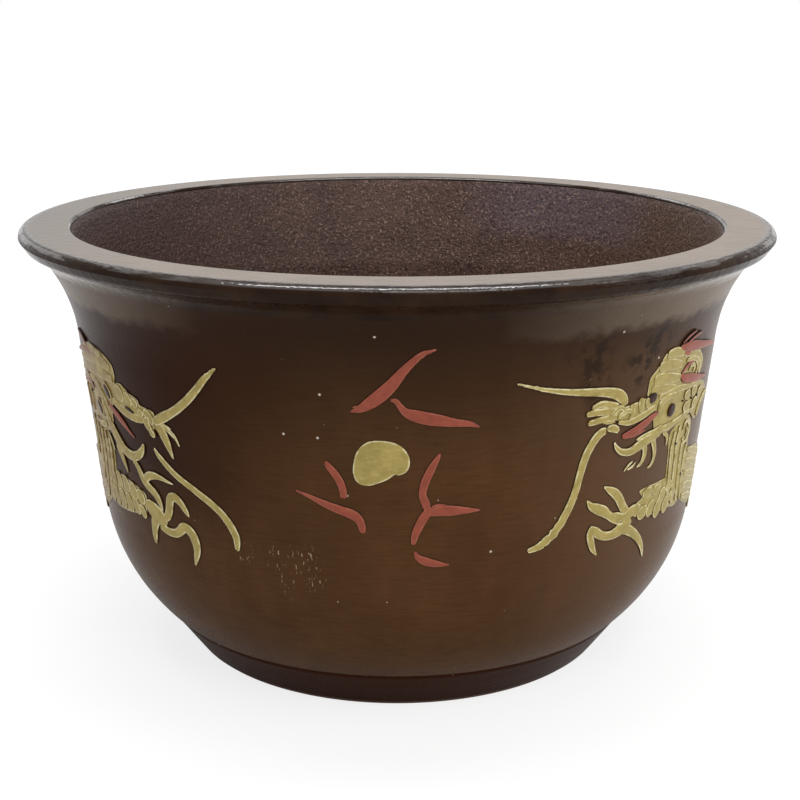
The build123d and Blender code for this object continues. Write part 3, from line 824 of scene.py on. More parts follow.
# The pearl and its flames. A stroke's points are azimuth, percent of the height and width in mm.
pearl = {"ground": [[
    (-6.8, 61.5), (-6.2, 64.8), (-4.6, 67), (-2.2, 67.4), (0.2, 66.6), (1.6, 64.6), (1.9, 62.5),
    (1.4, 60.9), (0.3, 60.2), (-0.4, 60.3), (-1.6, 59.2), (-4, 58), (-5.7, 58.1), (-6.6, 59.4)]]}
flames = {
    "flame_top": [
        [(-6.9, 73.3, 1), (-5.6, 73.9, 4.4), (-4.2, 75, 7), (-2.6, 76.6, 8.2), (-0.9, 78.8, 7.6),
         (0.6, 81.4, 5.8), (2.2, 83.8, 4.6), (3.6, 85.4, 3.6, 0.3), (5.4, 86.3, 1, 0.6)],
        [(-6.6, 74.2, 0.8), (-4.6, 74.6, 3), (-2.8, 75.4, 3)]],
    "flame_top_right": [
        [(-1, 75.8, 1.6), (-0.2, 75.6, 3), (0.4, 74.6, 3.4), (1.2, 73.4, 5), (2.6, 72.6, 7.4),
         (4.4, 72, 8), (6.4, 71.5, 7.2), (8.5, 71, 5.2), (10.8, 70.6, 3.4), (12.4, 69.8, 1)]],
    "flame_left": [
        [(-11, 62.7, 1.8), (-10.6, 61.8, 3.8), (-9.6, 60.2, 4.6), (-8.8, 58.4, 4.6), (-8.4, 56.6, 4.4),
         (-8.4, 55, 3.6)]],
    "flame_left_low": [
        [(-16, 56, 0.9), (-14, 55.1, 2.4), (-11.5, 53.7, 4.2), (-9, 52.5, 5.6), (-7, 51.6, 6.2),
         (-5.9, 50.3, 5.2), (-5.5, 48.4, 4), (-5.5, 47.6, 2, 0.5)]],
    "flame_right": [
        [(6.5, 64.6, 0.9), (6, 63.4, 3.2), (5.1, 61.2, 4.8), (4.2, 58.4, 5), (3.9, 56, 4.4),
         (4.4, 54.2, 5), (4.7, 52.6, 3.4)]],
    "flame_right_low": [
        [(5.4, 53.2, 3.4), (4.4, 51.6, 5.6), (3.4, 49.2, 5.2), (2.8, 47.2, 4.4), (2.5, 45.2, 2.4)]],
    "flame_right_leaf": [
        [(4.6, 51.8, 2.6), (6.4, 52.4, 6.6), (8.5, 52.4, 6.6), (10.8, 52.3, 4.2), (13.1, 52.1, 0.9)],
        [(5.4, 53.2, 1.6), (6.4, 53.6, 2.2), (7.8, 53.4, 1.4)]],
    "flame_foot": [
        [(2.8, 43.6, 1.4), (3.3, 42.4, 4), (4.6, 41.5, 5.4), (6.2, 40.9, 4.4), (8.4, 40.5, 0.9)]]}

# The right dragon's drawing, from the front backwards
right_dragon = {
    "upper_whisker": {
        "strokes": [
            [(17.9, 78.2, 0.8, 0.9), (20, 77.4, 1.8, 0.7), (23, 76.3, 2.8, 0.3), (26, 75.5, 3.8),
             (29, 74.9, 4.6), (32, 74.4, 5.4), (34.6, 73.8, 6.4), (36.6, 72.9, 7.4), (37.8, 71.6, 6.8),
             (38.3, 70.2, 4.6)]]},
    "lower_whisker": {
        "strokes": [
            [(34.9, 65.5, 4.4), (33.8, 65.3, 5.8), (32.6, 63.9, 6.2), (31.5, 61.6, 6), (30.8, 59, 5.8),
             (30.3, 56, 5.4), (29.7, 52.6, 5.6), (28.6, 49.2, 5.8, 0.1), (27, 45.9, 6, 0.5),
             (25.2, 43.6, 5.8, 0.5), (23.6, 42.4, 4.8, 0.2), (21.8, 41.8, 3)],
            [(37.7, 64.5, 2), (37.1, 65.3, 4.6), (36.1, 65.8, 5.2), (35.1, 65.9, 3.8)]]},
    "tongue": {
        "strokes": [
            [(38.6, 63.4, 2.6), (40, 63.5, 5.2), (42, 64, 6), (44, 64.9, 5.6), (46, 65.9, 4.2),
             (47.6, 66.4, 1.6)],
            [(40.6, 62.6, 1), (42.4, 62.9, 1.6), (44.4, 63.4, 0.8)]]},
    "muzzle": {
        "broad": [
            [(35.4, 69.4, 8), (38, 68.4, 9), (41, 68.2, 12), (44, 68.6, 12), (47, 68.6, 9)]],
        "strokes": [
            [(36.8, 68.2, 3.6), (34.8, 68.3, 4.2), (32.8, 68.1, 4.2), (30.9, 67.9, 3.4)],
            [(36.8, 69.4, 4), (34.4, 69.8, 5), (32.2, 70, 4.4), (30.4, 69.9, 3.2)],
            [(36.8, 70.5, 3.4), (34.8, 71.2, 4.4), (33, 71.6, 4.2), (31.4, 71, 3)],
            [(36.4, 67.4, 2.2), (35, 67.4, 2.8), (33.8, 67.6, 1.6)],
            [(35.2, 68, 2.4), (36, 69.4, 3), (37.2, 70.1, 3.2), (38.3, 69.2, 3), (38, 67.9, 2.4)],
            [(46.4, 68.2, 4), (44, 67.3, 4.8), (41.6, 66.6, 4.8), (39.4, 66.3, 3.8), (37.2, 66.9, 2.4)],
            [(37, 67.6, 2.4), (37.8, 68.7, 2.8), (39.4, 69, 3.2), (40.2, 68, 3), (39.6, 67, 2.2)],
            [(40.6, 67.6, 2.8), (40, 69, 4.2), (40.2, 70.2, 4.4)],
            [(42.4, 67.8, 3.2), (42, 69.6, 4.8), (42.4, 70.9, 4.8)],
            [(44.2, 68.2, 3), (43.7, 69.6, 4.2), (43.9, 70.6, 3.6)]]},
    "lower_jaw": {
        "strokes": [
            [(49.2, 62.6, 6), (47, 62.2, 4.6), (44.6, 62.1, 3.4), (42.4, 61.7, 1.6)],
            [(37, 62.5, 0.9), (37.6, 61.2, 3), (38.9, 60, 4.2), (40.8, 59.5, 5.4), (42.6, 60, 7),
             (44.6, 60.8, 7.4), (47, 61.3, 6.4), (49, 61.9, 5.6)]]},
    "beard": {
        "strokes": [
            [(44.4, 60.6, 4.6), (45.1, 58.6, 4.4), (45, 57, 3.8), (44.4, 55.8, 2.6), (43.5, 55.3, 0.9)],
            [(46.6, 61, 4.6), (47.5, 59.4, 4.4), (48.1, 57.4, 3.8), (48.1, 55.7, 3), (47.4, 54.5, 2.2),
             (46.6, 54.2, 0.9)],
            [(50.2, 60.9, 2.6), (51.4, 60.2, 3), (51.9, 58.8, 2.6), (51.8, 57.6, 0.9)],
            [(40.2, 55.2, 0.9), (41, 56.2, 1.8), (42.2, 57, 1)],
            [(41, 55.4, 0.9), (42.2, 55.8, 1.8), (43, 56.6, 0.9)]]},
    "skull": {
        "ground": [
            [(43.7, 72.2), (43.9, 74.6), (45.4, 76.2), (46.4, 77.6), (47.4, 79.2), (49.6, 79.9),
             (52.6, 79.4), (56.4, 78.2), (59.6, 77.6), (61.4, 75.6), (61.4, 72.4), (60.6, 69.6),
             (56.6, 66.6), (51.4, 64.4), (47.4, 65), (46.4, 67.6), (44.8, 69.4), (43.8, 70.8)],
            [(46.4, 65.8), (48.4, 68.6), (52.4, 70.2), (57.4, 70.2), (62, 69.4), (66, 68.2), (68.8, 66),
             (69.4, 64.4), (66.8, 62.4), (64.6, 60.2), (62.8, 60.4), (60.2, 62.5), (57, 62.6), (54, 61.6),
             (51.4, 60.9), (48.8, 61.2), (47, 62.6)]],
        "strokes": [
            [(52, 70.8, 3.4), (49, 71.3, 6.4), (46.4, 71.8, 7), (44.5, 71.9, 5.6)],
            [(53, 72.8, 4), (50, 73.3, 7.4), (47, 73.8, 8.8), (44.9, 73.9, 7.4)],
            [(53, 75.5, 4), (50.6, 76.2, 7.4), (48, 76.6, 8.4), (45.9, 76.5, 6.8)],
            [(53.4, 78, 4), (51.6, 78.6, 6.4), (49.6, 79, 7), (47.6, 78.9, 5.4)],
            [(46.8, 69.8, 3.4), (49.8, 70, 4.8), (53.2, 70.2, 4.6), (57.2, 69.6, 4), (61, 69.4, 2.4)],
            [(53.4, 77.6, 3.4), (57, 77, 4.8), (60, 75.8, 4.8), (61.6, 73.6, 4.6), (61, 71.4, 3)],
            [(54.4, 75.9, 2.4), (57, 75.9, 3.6), (59.2, 74.8, 3.6), (60, 73.2, 3.4), (59.4, 71.8, 2)],
            [(55.8, 73.4, 1.6), (57.2, 74.4, 2.6), (58.4, 73.6, 2.4), (57.8, 72.7, 1.4)],
            [(47.4, 66.6, 3.4), (47.8, 68.4, 4.4), (49.6, 69.2, 4.6), (52.2, 69.2, 4)],
            [(48, 62.4, 3.6), (51.4, 62.4, 4.6), (54.6, 62.9, 4), (57.8, 63.6, 3), (60.6, 63.4, 1.8)],
            [(69.2, 65, 2), (67, 64.6, 4.4), (64.6, 62.8, 4.6), (63.6, 60.8, 2.6)]],
        "knobs": [
            (63.4, 66.6, 10, 7.4, 10), (60, 67.8, 10.5, 7.6, -14), (56.8, 67.8, 9, 7, 8),
            (61, 64.8, 10, 7.6, 16), (57.2, 65, 11, 8, -8)],
        "pits": [
            (58.9, 66.4, 1.2), (61.8, 66.2, 1), (55.2, 66.8, 0.9)]},
    "horns": {
        "strokes": [
            [(52.8, 73.3, 1), (54.2, 72.2, 5), (56.4, 71.6, 6.4), (59.6, 70.8, 5.4), (63, 70, 3),
             (66.4, 69.5, 0.9)],
            [(53.2, 73.2, 2), (54.6, 74.5, 2.6), (56.6, 75.2, 2.8), (57.6, 74.9, 1)],
            [(51.2, 80, 1.4), (52.6, 79.6, 5), (55, 79.1, 7.2), (58, 78.6, 6.2), (61.6, 77.8, 4.6),
             (65.6, 77, 3.2), (70, 75.6, 0.9)],
            [(52.8, 78.4, 2), (54.4, 77.6, 3), (56.4, 77.4, 1)],
            [(51.6, 80.6, 0.8), (53.4, 81.8, 1.6), (55.6, 82.5, 0.9)],
            [(53.8, 80.4, 1.2), (56.2, 81.2, 1.7), (58.4, 81.5, 0.8)]]},
    "foreleg": {
        "ground": [
            [(45.4, 49.2), (47.4, 49.6), (50.4, 49.6), (54.6, 49.4), (57, 46.6), (57, 43), (54.8, 41.9),
             (51, 42.2), (47.5, 42.8), (44.8, 43.6), (43.4, 45), (44.4, 46.4), (46.4, 47.4)]],
        "knobs": [
            (55.4, 47.2, 9, 9, 20), (50.6, 48.1, 11, 8, 8), (47.7, 48.3, 11, 7.6, 8),
            (57.4, 44.6, 10, 10, 60), (54.9, 43.2, 13, 9.5, 78), (53, 46.1, 11, 8.6, 70),
            (51.8, 43.3, 13.5, 9, 74), (49.3, 44.2, 12.5, 8.4, 68), (46.8, 44.1, 11, 9.6, 40),
            (44.8, 45.3, 9, 9.4, 20)]},
    "neck": {
        "ground": [
            [(53.4, 60.6), (52.9, 58.4), (53.4, 55), (53.7, 51), (53.9, 47), (54.6, 43.2), (57, 41.6),
             (61, 41), (63.6, 44), (63.6, 50), (62.4, 55), (61.9, 57.4), (62.4, 59.4), (60.4, 62.2),
             (57, 62.2)]],
        "broad": [
            [(57, 46.6, 14), (62, 47.2, 32), (66, 46.4, 40), (70, 44.8, 42), (75, 42.8, 42), (80, 41, 38)]],
        "strokes": [
            [(62.4, 53.4, 3), (66, 52, 5), (70, 50.4, 5), (75, 48.2, 5), (80, 46, 4)],
            [(62.6, 50.6, 3), (66.4, 49.2, 5.4), (70.6, 47.6, 5.4), (75.4, 45.4, 5.4), (80, 43.4, 4.4)],
            [(62.8, 47.6, 3.4), (66.8, 46.2, 5.6), (71, 44.6, 5.6), (75.6, 42.6, 5.6), (80, 40.8, 4.6)],
            [(63, 44.6, 3.4), (67, 43.4, 5.6), (71.4, 41.6, 5.6), (75.8, 39.8, 5.6), (80, 38.2, 4.6)],
            [(63, 42, 3), (67, 40.8, 4.6), (71.4, 39, 4.6), (75.8, 37.4, 4.4), (80, 36, 3.4)],
            [(60.6, 55, 2.6), (60.8, 51.4, 3.8), (61.2, 47.6, 4.2), (61.6, 44.2, 3.8), (62, 41.8, 2)],
            [(58.3, 56.4, 2.4), (58.6, 52.6, 4), (59, 49, 4.2), (59.4, 45.4, 3.8), (59.8, 42.2, 2.2)],
            [(56.2, 60.8, 2.6), (56, 57, 3.8), (56.4, 53, 4.2), (56.8, 49, 4.2), (57.2, 45.2, 3.6),
             (57.6, 42.4, 2.2)],
            [(54.5, 60, 2.6), (54.1, 56.4, 3.6), (54.5, 52.4, 3.8), (54.9, 48.6, 3.8), (55.3, 45, 3.2),
             (55.8, 43, 2)],
            [(57.8, 59.4, 1.6), (58.6, 61, 2.4), (60.2, 60.4, 2.6), (61, 58.4, 2.8), (60.4, 56.5, 2.6),
             (59, 56.1, 2.2), (58.1, 57.4, 1.8)],
            [(59.5, 59.5, 1.4), (59.9, 58.3, 2.4), (59.3, 57.4, 1.2)]],
        "pits": [
            (60.2, 55.6, 1.4), (60, 48.4, 1.8), (60.9, 48.9, 1.2), (55.4, 57, 0.9)]},
    "forepaw": {
        "strokes": [
            [(36, 52.9, 0.9), (37.2, 52, 4.4), (38.6, 50.9, 6.2), (39.9, 49.3, 6.6), (40.9, 47.4, 6.4),
             (42.2, 45.6, 6), (43.4, 44.4, 4.4)],
            [(32.6, 50.7, 0.9), (33.4, 49.4, 4.6), (34.8, 48.4, 6.8), (36.4, 47.4, 7.2), (37.6, 46.3, 5.6),
             (39.2, 44.9, 5.6), (41.2, 44, 6.6)],
            [(36.1, 37.5, 0.8), (35, 39.2, 4), (34.3, 41.2, 5.2), (33.9, 43.2, 4.8), (34.4, 44.6, 2.6)],
            [(33.9, 44.4, 2.6), (35, 43.3, 5.8), (36.4, 42, 6), (38.4, 41.3, 6.2), (40.4, 41.6, 8),
             (42.2, 42.4, 9), (43.6, 43.8, 7)],
            [(40, 42.8, 5), (41.6, 42, 7.4), (43.4, 41.1, 7), (45.2, 39.7, 6.2), (46.8, 38, 5.4),
             (48, 36.2, 4.2), (48.8, 34.4, 2.6), (49.4, 32.8, 0.8)],
            [(38.2, 46.3, 1), (39.8, 45.6, 4), (41.4, 44.6, 6), (43.4, 45.2, 8), (45.2, 45.8, 6.6)]]}}

left_dragon = {
    "upper_whisker": {
        "strokes": [
            [(-28.1, 80, 1, 0.9), (-29, 79, 2.8, 0.6), (-30.4, 77.4, 4.2, 0.2), (-32.2, 74.8, 5),
             (-34, 72.5, 5.4), (-36, 70.4, 5.6), (-38, 68.7, 5.8), (-40, 67.3, 6.6), (-41.6, 66.2, 6.4),
             (-42.8, 65.6, 4)]]},
    "lower_whisker": {
        "strokes": [
            [(-43.9, 59.4, 1.2), (-43.2, 58.4, 3.2), (-42, 57.2, 4.2), (-40, 55.4, 4.6), (-38, 54, 4.6),
             (-36, 52.9, 4.6), (-34, 51.7, 4.8), (-32, 50.4, 5), (-30, 48.6, 5.2), (-28.4, 46.3, 5.4),
             (-27.4, 43.8, 5.2), (-27.4, 41.4, 3.8, 0.3), (-27.6, 40.8, 2, 0.6)]]},
    "tongue": {
        "strokes": [
            [(-59, 66.2, 1.2), (-56.6, 65.1, 3.6), (-54.2, 63.8, 4.8), (-52.2, 62.4, 4), (-50.8, 61.2, 2.2),
             (-49.3, 60.1, 0.8)]]},
    "muzzle": {
        "ground": [
            [(-54.6, 68.9), (-53.5, 71), (-51.6, 71.5), (-50.1, 70.8), (-49, 70), (-47.8, 69.8),
             (-46.6, 69.2), (-46.3, 68.3), (-44.9, 68), (-43.2, 67.8), (-42.5, 67), (-42.7, 65.6),
             (-43, 63.8), (-44, 63.2), (-45, 64.2), (-46.5, 64.4), (-48.9, 64.4), (-51.4, 65.2),
             (-53.5, 66), (-55, 67)]],
        "strokes": [
            [(-55, 67.2, 4), (-52.6, 66.1, 5.6), (-50.2, 65.4, 6), (-47.8, 65.1, 6), (-45.4, 65.3, 5)]],
        "knobs": [
            (-47.5, 68.5, 8, 6, -40), (-49.4, 68.8, 11, 7, -50), (-52, 69.4, 13, 8.6, -52),
            (-46, 66.6, 6.5, 5.6), (-44.3, 67, 7.5, 5.6, -10), (-43.3, 66, 8, 5, -70),
            (-44.6, 65.4, 7, 5, 10), (-44.3, 64.3, 8, 5.6, -40), (-43.5, 63, 7, 4.6, -50)],
        "pits": [
            (-49.3, 66.5, 10, 1.4, -14)]},
    "lower_jaw": {
        "strokes": [
            [(-59.2, 62.6, 5), (-57.4, 60.2, 8), (-55.4, 57.9, 8.4), (-53.2, 56.2, 7.2), (-50.8, 55.7, 6.8),
             (-48.8, 56.4, 6.2), (-47.4, 57.8, 5), (-46.7, 59.5, 1.6)]]},
    "beard": {
        "strokes": [
            [(-42.6, 65.2, 6), (-41.4, 64.3, 7.6), (-40.5, 62.4, 6.8), (-39.8, 60.4, 4.6),
             (-39.2, 58.2, 0.9)],
            [(-41.2, 65.2, 3.4), (-39.6, 64.6, 2.4), (-38.2, 63.4, 2.2), (-37.4, 61.4, 0.9)],
            [(-40.6, 64.8, 1.6), (-39.2, 63.9, 1.6), (-38.4, 63, 0.8)],
            [(-41.2, 65.4, 1.6), (-40, 65.3, 1.6), (-38.9, 64.8, 0.8)],
            [(-59.6, 57.9, 3), (-58.6, 56.4, 3.4), (-57.9, 54.6, 0.9)],
            [(-56, 57, 6.6), (-55, 54.8, 5.8), (-54.2, 52.8, 4), (-53.6, 50.9, 0.9)],
            [(-50.8, 55, 3.6), (-49.4, 53.4, 4.6), (-48.2, 51.2, 5.6), (-46.8, 49.9, 6), (-45.3, 48.9, 5.8),
             (-44.3, 47.3, 4.8), (-43.8, 45.2, 1.6)],
            [(-47.9, 50.6, 4.6), (-46.8, 52.2, 5.8), (-45, 53, 5), (-43, 53, 3.2), (-41.2, 52.6, 1.8),
             (-40.1, 52.4, 0.7)]]},
    "skull": {
        "ground": [
            [(-53.5, 71.4), (-53.2, 73.2), (-53.7, 74.9), (-55, 76), (-57.4, 76.9), (-60.4, 77.5),
             (-63.8, 77.6), (-67, 76.6), (-70.4, 74.6), (-71.6, 71), (-69.6, 68.6), (-65.4, 67.4),
             (-61, 67), (-57.4, 67), (-54.6, 68.6)],
            [(-54.8, 67.6), (-56.4, 70.2), (-61, 71.4), (-66, 71), (-70.6, 69), (-71.4, 65.4), (-70.2, 62),
             (-67.6, 59.8), (-64.4, 59), (-61, 58.6), (-58.6, 59), (-56.8, 61), (-56.2, 64.2)]],
        "strokes": [
            [(-57, 76, 3), (-60.4, 76.6, 5.4), (-64.6, 76.4, 5.6), (-68.4, 75.4, 3)],
            [(-54.4, 74.2, 4), (-57.6, 74.7, 7.8), (-62, 74.6, 8), (-66.6, 73.8, 6), (-70, 73, 3)],
            [(-54, 71.8, 4), (-57.6, 72, 7.4), (-62, 72, 7.6), (-66.4, 71.2, 6.6), (-70, 70.2, 4)],
            [(-60, 68.6, 3), (-63.4, 69.4, 4.8), (-67, 68.9, 4.6), (-70.6, 67.8, 2.6)],
            [(-66.4, 61.2, 3), (-66.2, 64.4, 4.6), (-67.2, 67, 3.8)],
            [(-69, 61.4, 3), (-68.8, 64.2, 4.4), (-69.8, 66.6, 3)],
            [(-60, 65.8, 3), (-58.8, 63.2, 4.6), (-57.2, 61.4, 4.4)],
            [(-65.4, 59.9, 3), (-62, 59.6, 4.2), (-59.4, 60.4, 4.2)],
            [(-57.2, 65.2, 2), (-58.6, 66.6, 4), (-60, 68, 3)]],
        "knobs": [
            (-56.6, 68.5, 14.5, 8.2, -45), (-61.2, 63.6, 14, 8, -45)],
        "pits": [
            (-65.4, 66.2, 1.2)]},
    "horns": {
        "strokes": [
            [(-62.8, 74.8, 1), (-64, 76.2, 2.8), (-66.4, 77.8, 3.2), (-70, 78.8, 0.9)],
            [(-63.6, 75.6, 1.4), (-67, 75.4, 3.8), (-70.4, 74.4, 2.8), (-73.4, 73.4, 0.9)],
            [(-63.7, 67.2, 1), (-64.8, 68.6, 3.2), (-66.2, 70, 3), (-68.4, 71.4, 0.9)],
            [(-64.4, 68.2, 1.2), (-67.4, 68, 2.8), (-71, 67, 0.9)]]},
    "foreleg": {
        "ground": [
            [(-48.4, 46.4), (-49, 47.8), (-51.2, 48.5), (-54, 49.1), (-57, 49.4), (-60, 48.8), (-63, 47),
             (-64, 43.6), (-62.4, 40.8), (-59, 40.7), (-55, 41.3), (-51.6, 42.1), (-49.2, 42.8),
             (-48.8, 44.4)]],
        "knobs": [
            (-60.6, 47.6, 12, 8.4, -70), (-57.8, 48, 12, 8.6, -66), (-55, 47.9, 12.5, 9, -58),
            (-52.4, 47.2, 13, 9.4, -54), (-50, 46.6, 11.5, 8.6, -54), (-63, 42.8, 12, 8.6, -70),
            (-60.4, 43.3, 14, 9.4, -70), (-57.6, 43.6, 15, 10, -66), (-54.6, 43.7, 14.5, 9, -62),
            (-52, 43.9, 13, 8, -60), (-49.9, 43.3, 10.5, 6.6, -56)]},
    "neck": {
        "ground": [
            [(-59, 57.2), (-58.7, 54.6), (-58.9, 51.6), (-59.4, 49), (-60.2, 45), (-61.4, 42), (-64, 40.9),
             (-67, 41.2), (-68.8, 46), (-70.2, 51), (-70.8, 56), (-70.4, 59.8), (-68, 60.4), (-64, 59.4),
             (-61, 58.6)]],
        "broad": [
            [(-60, 46, 14), (-64, 46.4, 30), (-68, 45.6, 38), (-72, 44, 42), (-76, 42.4, 42),
             (-80, 41, 38)]],
        "strokes": [
            [(-68.4, 52.6, 3), (-72, 50.6, 5), (-76, 48.6, 5), (-80, 46.4, 4)],
            [(-67, 50.2, 3), (-70.6, 48.6, 5.4), (-75.4, 45.8, 5.4), (-80, 43.4, 4.4)],
            [(-66.6, 47, 3.4), (-70.6, 45.2, 5.6), (-75.4, 42.8, 5.6), (-80, 40.8, 4.6)],
            [(-66.4, 44, 3.4), (-70.6, 42.2, 5.6), (-75.4, 40, 5.6), (-80, 38.2, 4.6)],
            [(-66, 41.6, 3), (-70.6, 39.4, 4.6), (-75.4, 37.4, 4.4), (-80, 36, 3.4)],
            [(-68.4, 59.8, 2.6), (-68.4, 56.4, 4.2), (-69, 52.4, 4.2), (-70, 49, 3)],
            [(-66, 59.6, 2.6), (-65.8, 56, 4.2), (-66.2, 52, 4.4), (-67, 48, 4.2), (-67.8, 44.6, 2.4)],
            [(-63.6, 58.8, 2.4), (-63.5, 55.2, 4.2), (-63.9, 51.2, 4.4), (-64.7, 47, 4.2),
             (-65.6, 43.4, 3.2), (-66.2, 41.6, 2)],
            [(-61.5, 58, 2.4), (-61.4, 54.8, 4), (-61.8, 51, 4.2), (-62.6, 47, 4.2), (-63.5, 43.6, 3.2),
             (-64.2, 41.6, 2)],
            [(-59.8, 57, 2.4), (-59.7, 54.2, 3.4), (-60.1, 51.2, 3.6), (-60.8, 47.8, 3.6), (-61.7, 44.4, 3),
             (-62.4, 42.2, 2)]]},
    "forepaw": {
        "strokes": [
            [(-37.2, 45.8, 1.2), (-37.8, 47.1, 4.2), (-38.8, 48.6, 5.4), (-40.1, 49.5, 6.2),
             (-41.3, 48.8, 6.6), (-41.8, 46.8, 6.6), (-42.4, 44.8, 6.2), (-43.6, 43.4, 5)],
            [(-37.1, 34.8, 0.8), (-36.5, 36.9, 4.2), (-36.1, 38.9, 5.8), (-36.4, 40.9, 7),
             (-37.3, 42.6, 7.2), (-38.7, 43.1, 6.8), (-39.8, 41.9, 6.4), (-41.2, 41, 5.8), (-43.2, 41, 5.6),
             (-45, 41.8, 6.4)],
            [(-47.3, 36.6, 1.6), (-47.2, 38, 4.4), (-47, 39.6, 5.6), (-46.7, 41.4, 7.6), (-46, 43.2, 10)],
            [(-43, 42.6, 6), (-44.6, 43.4, 12), (-46.4, 44.5, 12.6), (-47.8, 45.4, 9), (-48.8, 45.9, 3)]]}}

# Eyes: azimuth, percent, their length and breadth in mm and their tilt
eyes = {
    "right_dragon": [(44.9, 70.3, 8.0, 6.2, 20), (51.3, 65.9, 8.6, 7.2, 50)],
    "left_dragon": [(-56.6, 68.5, 11.0, 5.0, -45), (-61.2, 63.6, 10.5, 4.8, -45)]}

# The bodies behind, a wave round the wall
body_start, body_end = 75.0, 174.0
panel_edges = [75.0, 97.0, 119.0, 141.0, 163.0, 174.0]
panel_names = ["shoulder", "back", "loin", "haunch", "tail"]
wave_low, wave_turn = 80.0, 66.0
wave_middle, wave_swing = 52.0, 12.0
body_width, tail_width = 40.0, 9.0
spine_steps = 8
scale_length = 7.4
scale_breadth_share = 0.96
scale_overlap = 0.62
scale_row_share = 0.86
scale_rise = 0.5
last_scale_gap = 0.3
belly_band_share = 0.22
belly_band_breadth_share = 1.1

# A fin of the fringe, from its root: degrees forward, share of the body's width, mm beyond it and width
fin_steps = [(0.0, 0.46, 0.0, 5.0), (0.2, 0.5, 2.5, 3.6), (1.0, 0.5, 6.0, 0.8)]
tail_tuft_leans = (-5.0, -2.4, 0.4, 3.0)
hidden_leg_lift = 1.4

# A hidden leg from its hip: steps of azimuth and percent, and width in mm
leg_strokes = [
    [(0.0, 1.0, 20.0), (2.2, -3.0, 19.0), (4.6, -7.0, 13.0), (6.4, -10.5, 10.0)],
    [(5.4, -10.0, 7.0), (8.4, -9.2, 6.4), (10.4, -9.8, 4.0), (11.4, -11.6, 0.9)],
    [(5.8, -10.4, 7.0), (8.2, -11.6, 6.4), (9.6, -13.2, 4.0), (9.8, -15.0, 0.9)],
    [(6.2, -10.4, 7.0), (6.8, -12.8, 6.0), (6.6, -14.6, 4.0), (5.6, -16.2, 0.9)],
    [(6.2, -10.6, 7.0), (4.6, -11.8, 6.0), (3.2, -12.8, 4.0), (2.2, -14.4, 0.9)]]
leg_scales = [
    (0.2, 0.6, 9.0), (2.4, 0.2, 8.0), (-0.8, -1.6, 8.0), (1.2, -2.0, 9.0), (3.4, -2.6, 8.0),
    (1.0, -4.4, 7.0), (2.8, -4.8, 8.0), (4.4, -5.4, 7.0), (3.6, -7.2, 7.0), (5.2, -7.8, 6.5),
    (4.8, -9.4, 6.0), (6.4, -9.8, 6.0)]
leg_places = {
    "far_foreleg": (98.0, 54.5, 1), "hind_leg": (135.0, 52.0, -1), "far_hind_leg": (144.0, 44.0, 1)}


def body_wave(azimuth):
    """The middle of the body at an azimuth, in percent of the height, and its width in mm."""
    gone = max((azimuth - body_start) / (body_end - body_start), 0)
    percent = wave_middle - wave_swing * cos(2 * pi * (azimuth - wave_low) / wave_turn)
    return percent, body_width + (tail_width - body_width) * gone


def off_spine(side, azimuth, offset_mm):
    """A place beside the body's middle line, up being positive, the line's tilt and its run per degree."""
    percent = body_wave(azimuth)[0]
    ahead = body_wave(azimuth + 1)[0]
    run_across, run_up = run_on_wall((azimuth, percent), (azimuth + 1, ahead))
    reach = hypot(run_across, run_up)
    spot = step_on_wall(
        side * azimuth, percent, -side * run_up / reach * offset_mm, run_across / reach * offset_mm)
    return spot[0], spot[1] / jar_height * 100, degrees(atan2(run_up, side * run_across)), reach


def body_panel(side, first, last):
    """A length of the body: a broad pull, belly bands, rows of scales and a fringe of fins."""
    bm = bmesh.new()
    slip_layers(bm)
    spine = []
    for step in range(spine_steps + 1):
        azimuth = first + (last - first) * step / spine_steps
        percent, width = body_wave(azimuth)
        spine.append((side * azimuth, percent, width))
    stroke(bm, spine, 0.0, ground_rise)
    azimuth = first
    row = 0
    while azimuth < last - last_scale_gap:
        width = body_wave(azimuth)[1]
        size = scale_length * (0.5 + 0.5 * width / body_width)
        rows = max(2, round(width * (1 - belly_band_share) / size / scale_row_share))
        for rank in range(rows):
            share = (rank + 0.5 + 0.5 * (row % 2)) / (rows + 0.5)
            offset = width * (belly_band_share - 0.5 + share * (1 - belly_band_share))
            spot_azimuth, percent, tilt = off_spine(side, azimuth, offset)[:3]
            scale = oval(spot_azimuth, percent, size, size * scale_breadth_share, tilt)
            dab(bm, scale, ground_rise, scale_rise, line_on_slip, 1.0, sides=8, rings=6)
        if row % 2:
            offset = width * (belly_band_share / 2 - 0.5)
            spot_azimuth, percent, tilt = off_spine(side, azimuth, offset)[:3]
            band = oval(
                spot_azimuth, percent, width * belly_band_share, size * belly_band_breadth_share, tilt + 90)
            dab(bm, band, ground_rise, scale_rise, line_on_slip, 1.0, sides=10, rings=6)
            fin = []
            for forward, width_share, beyond_mm, fin_width in fin_steps:
                spot = off_spine(side, azimuth - forward, width_share * width + beyond_mm)
                fin.append((spot[0], spot[1], fin_width))
            stroke(bm, fin, 0.2, 0.8)
        azimuth += size * scale_overlap / off_spine(side, azimuth, 0)[3]
        row += 1
    return bm


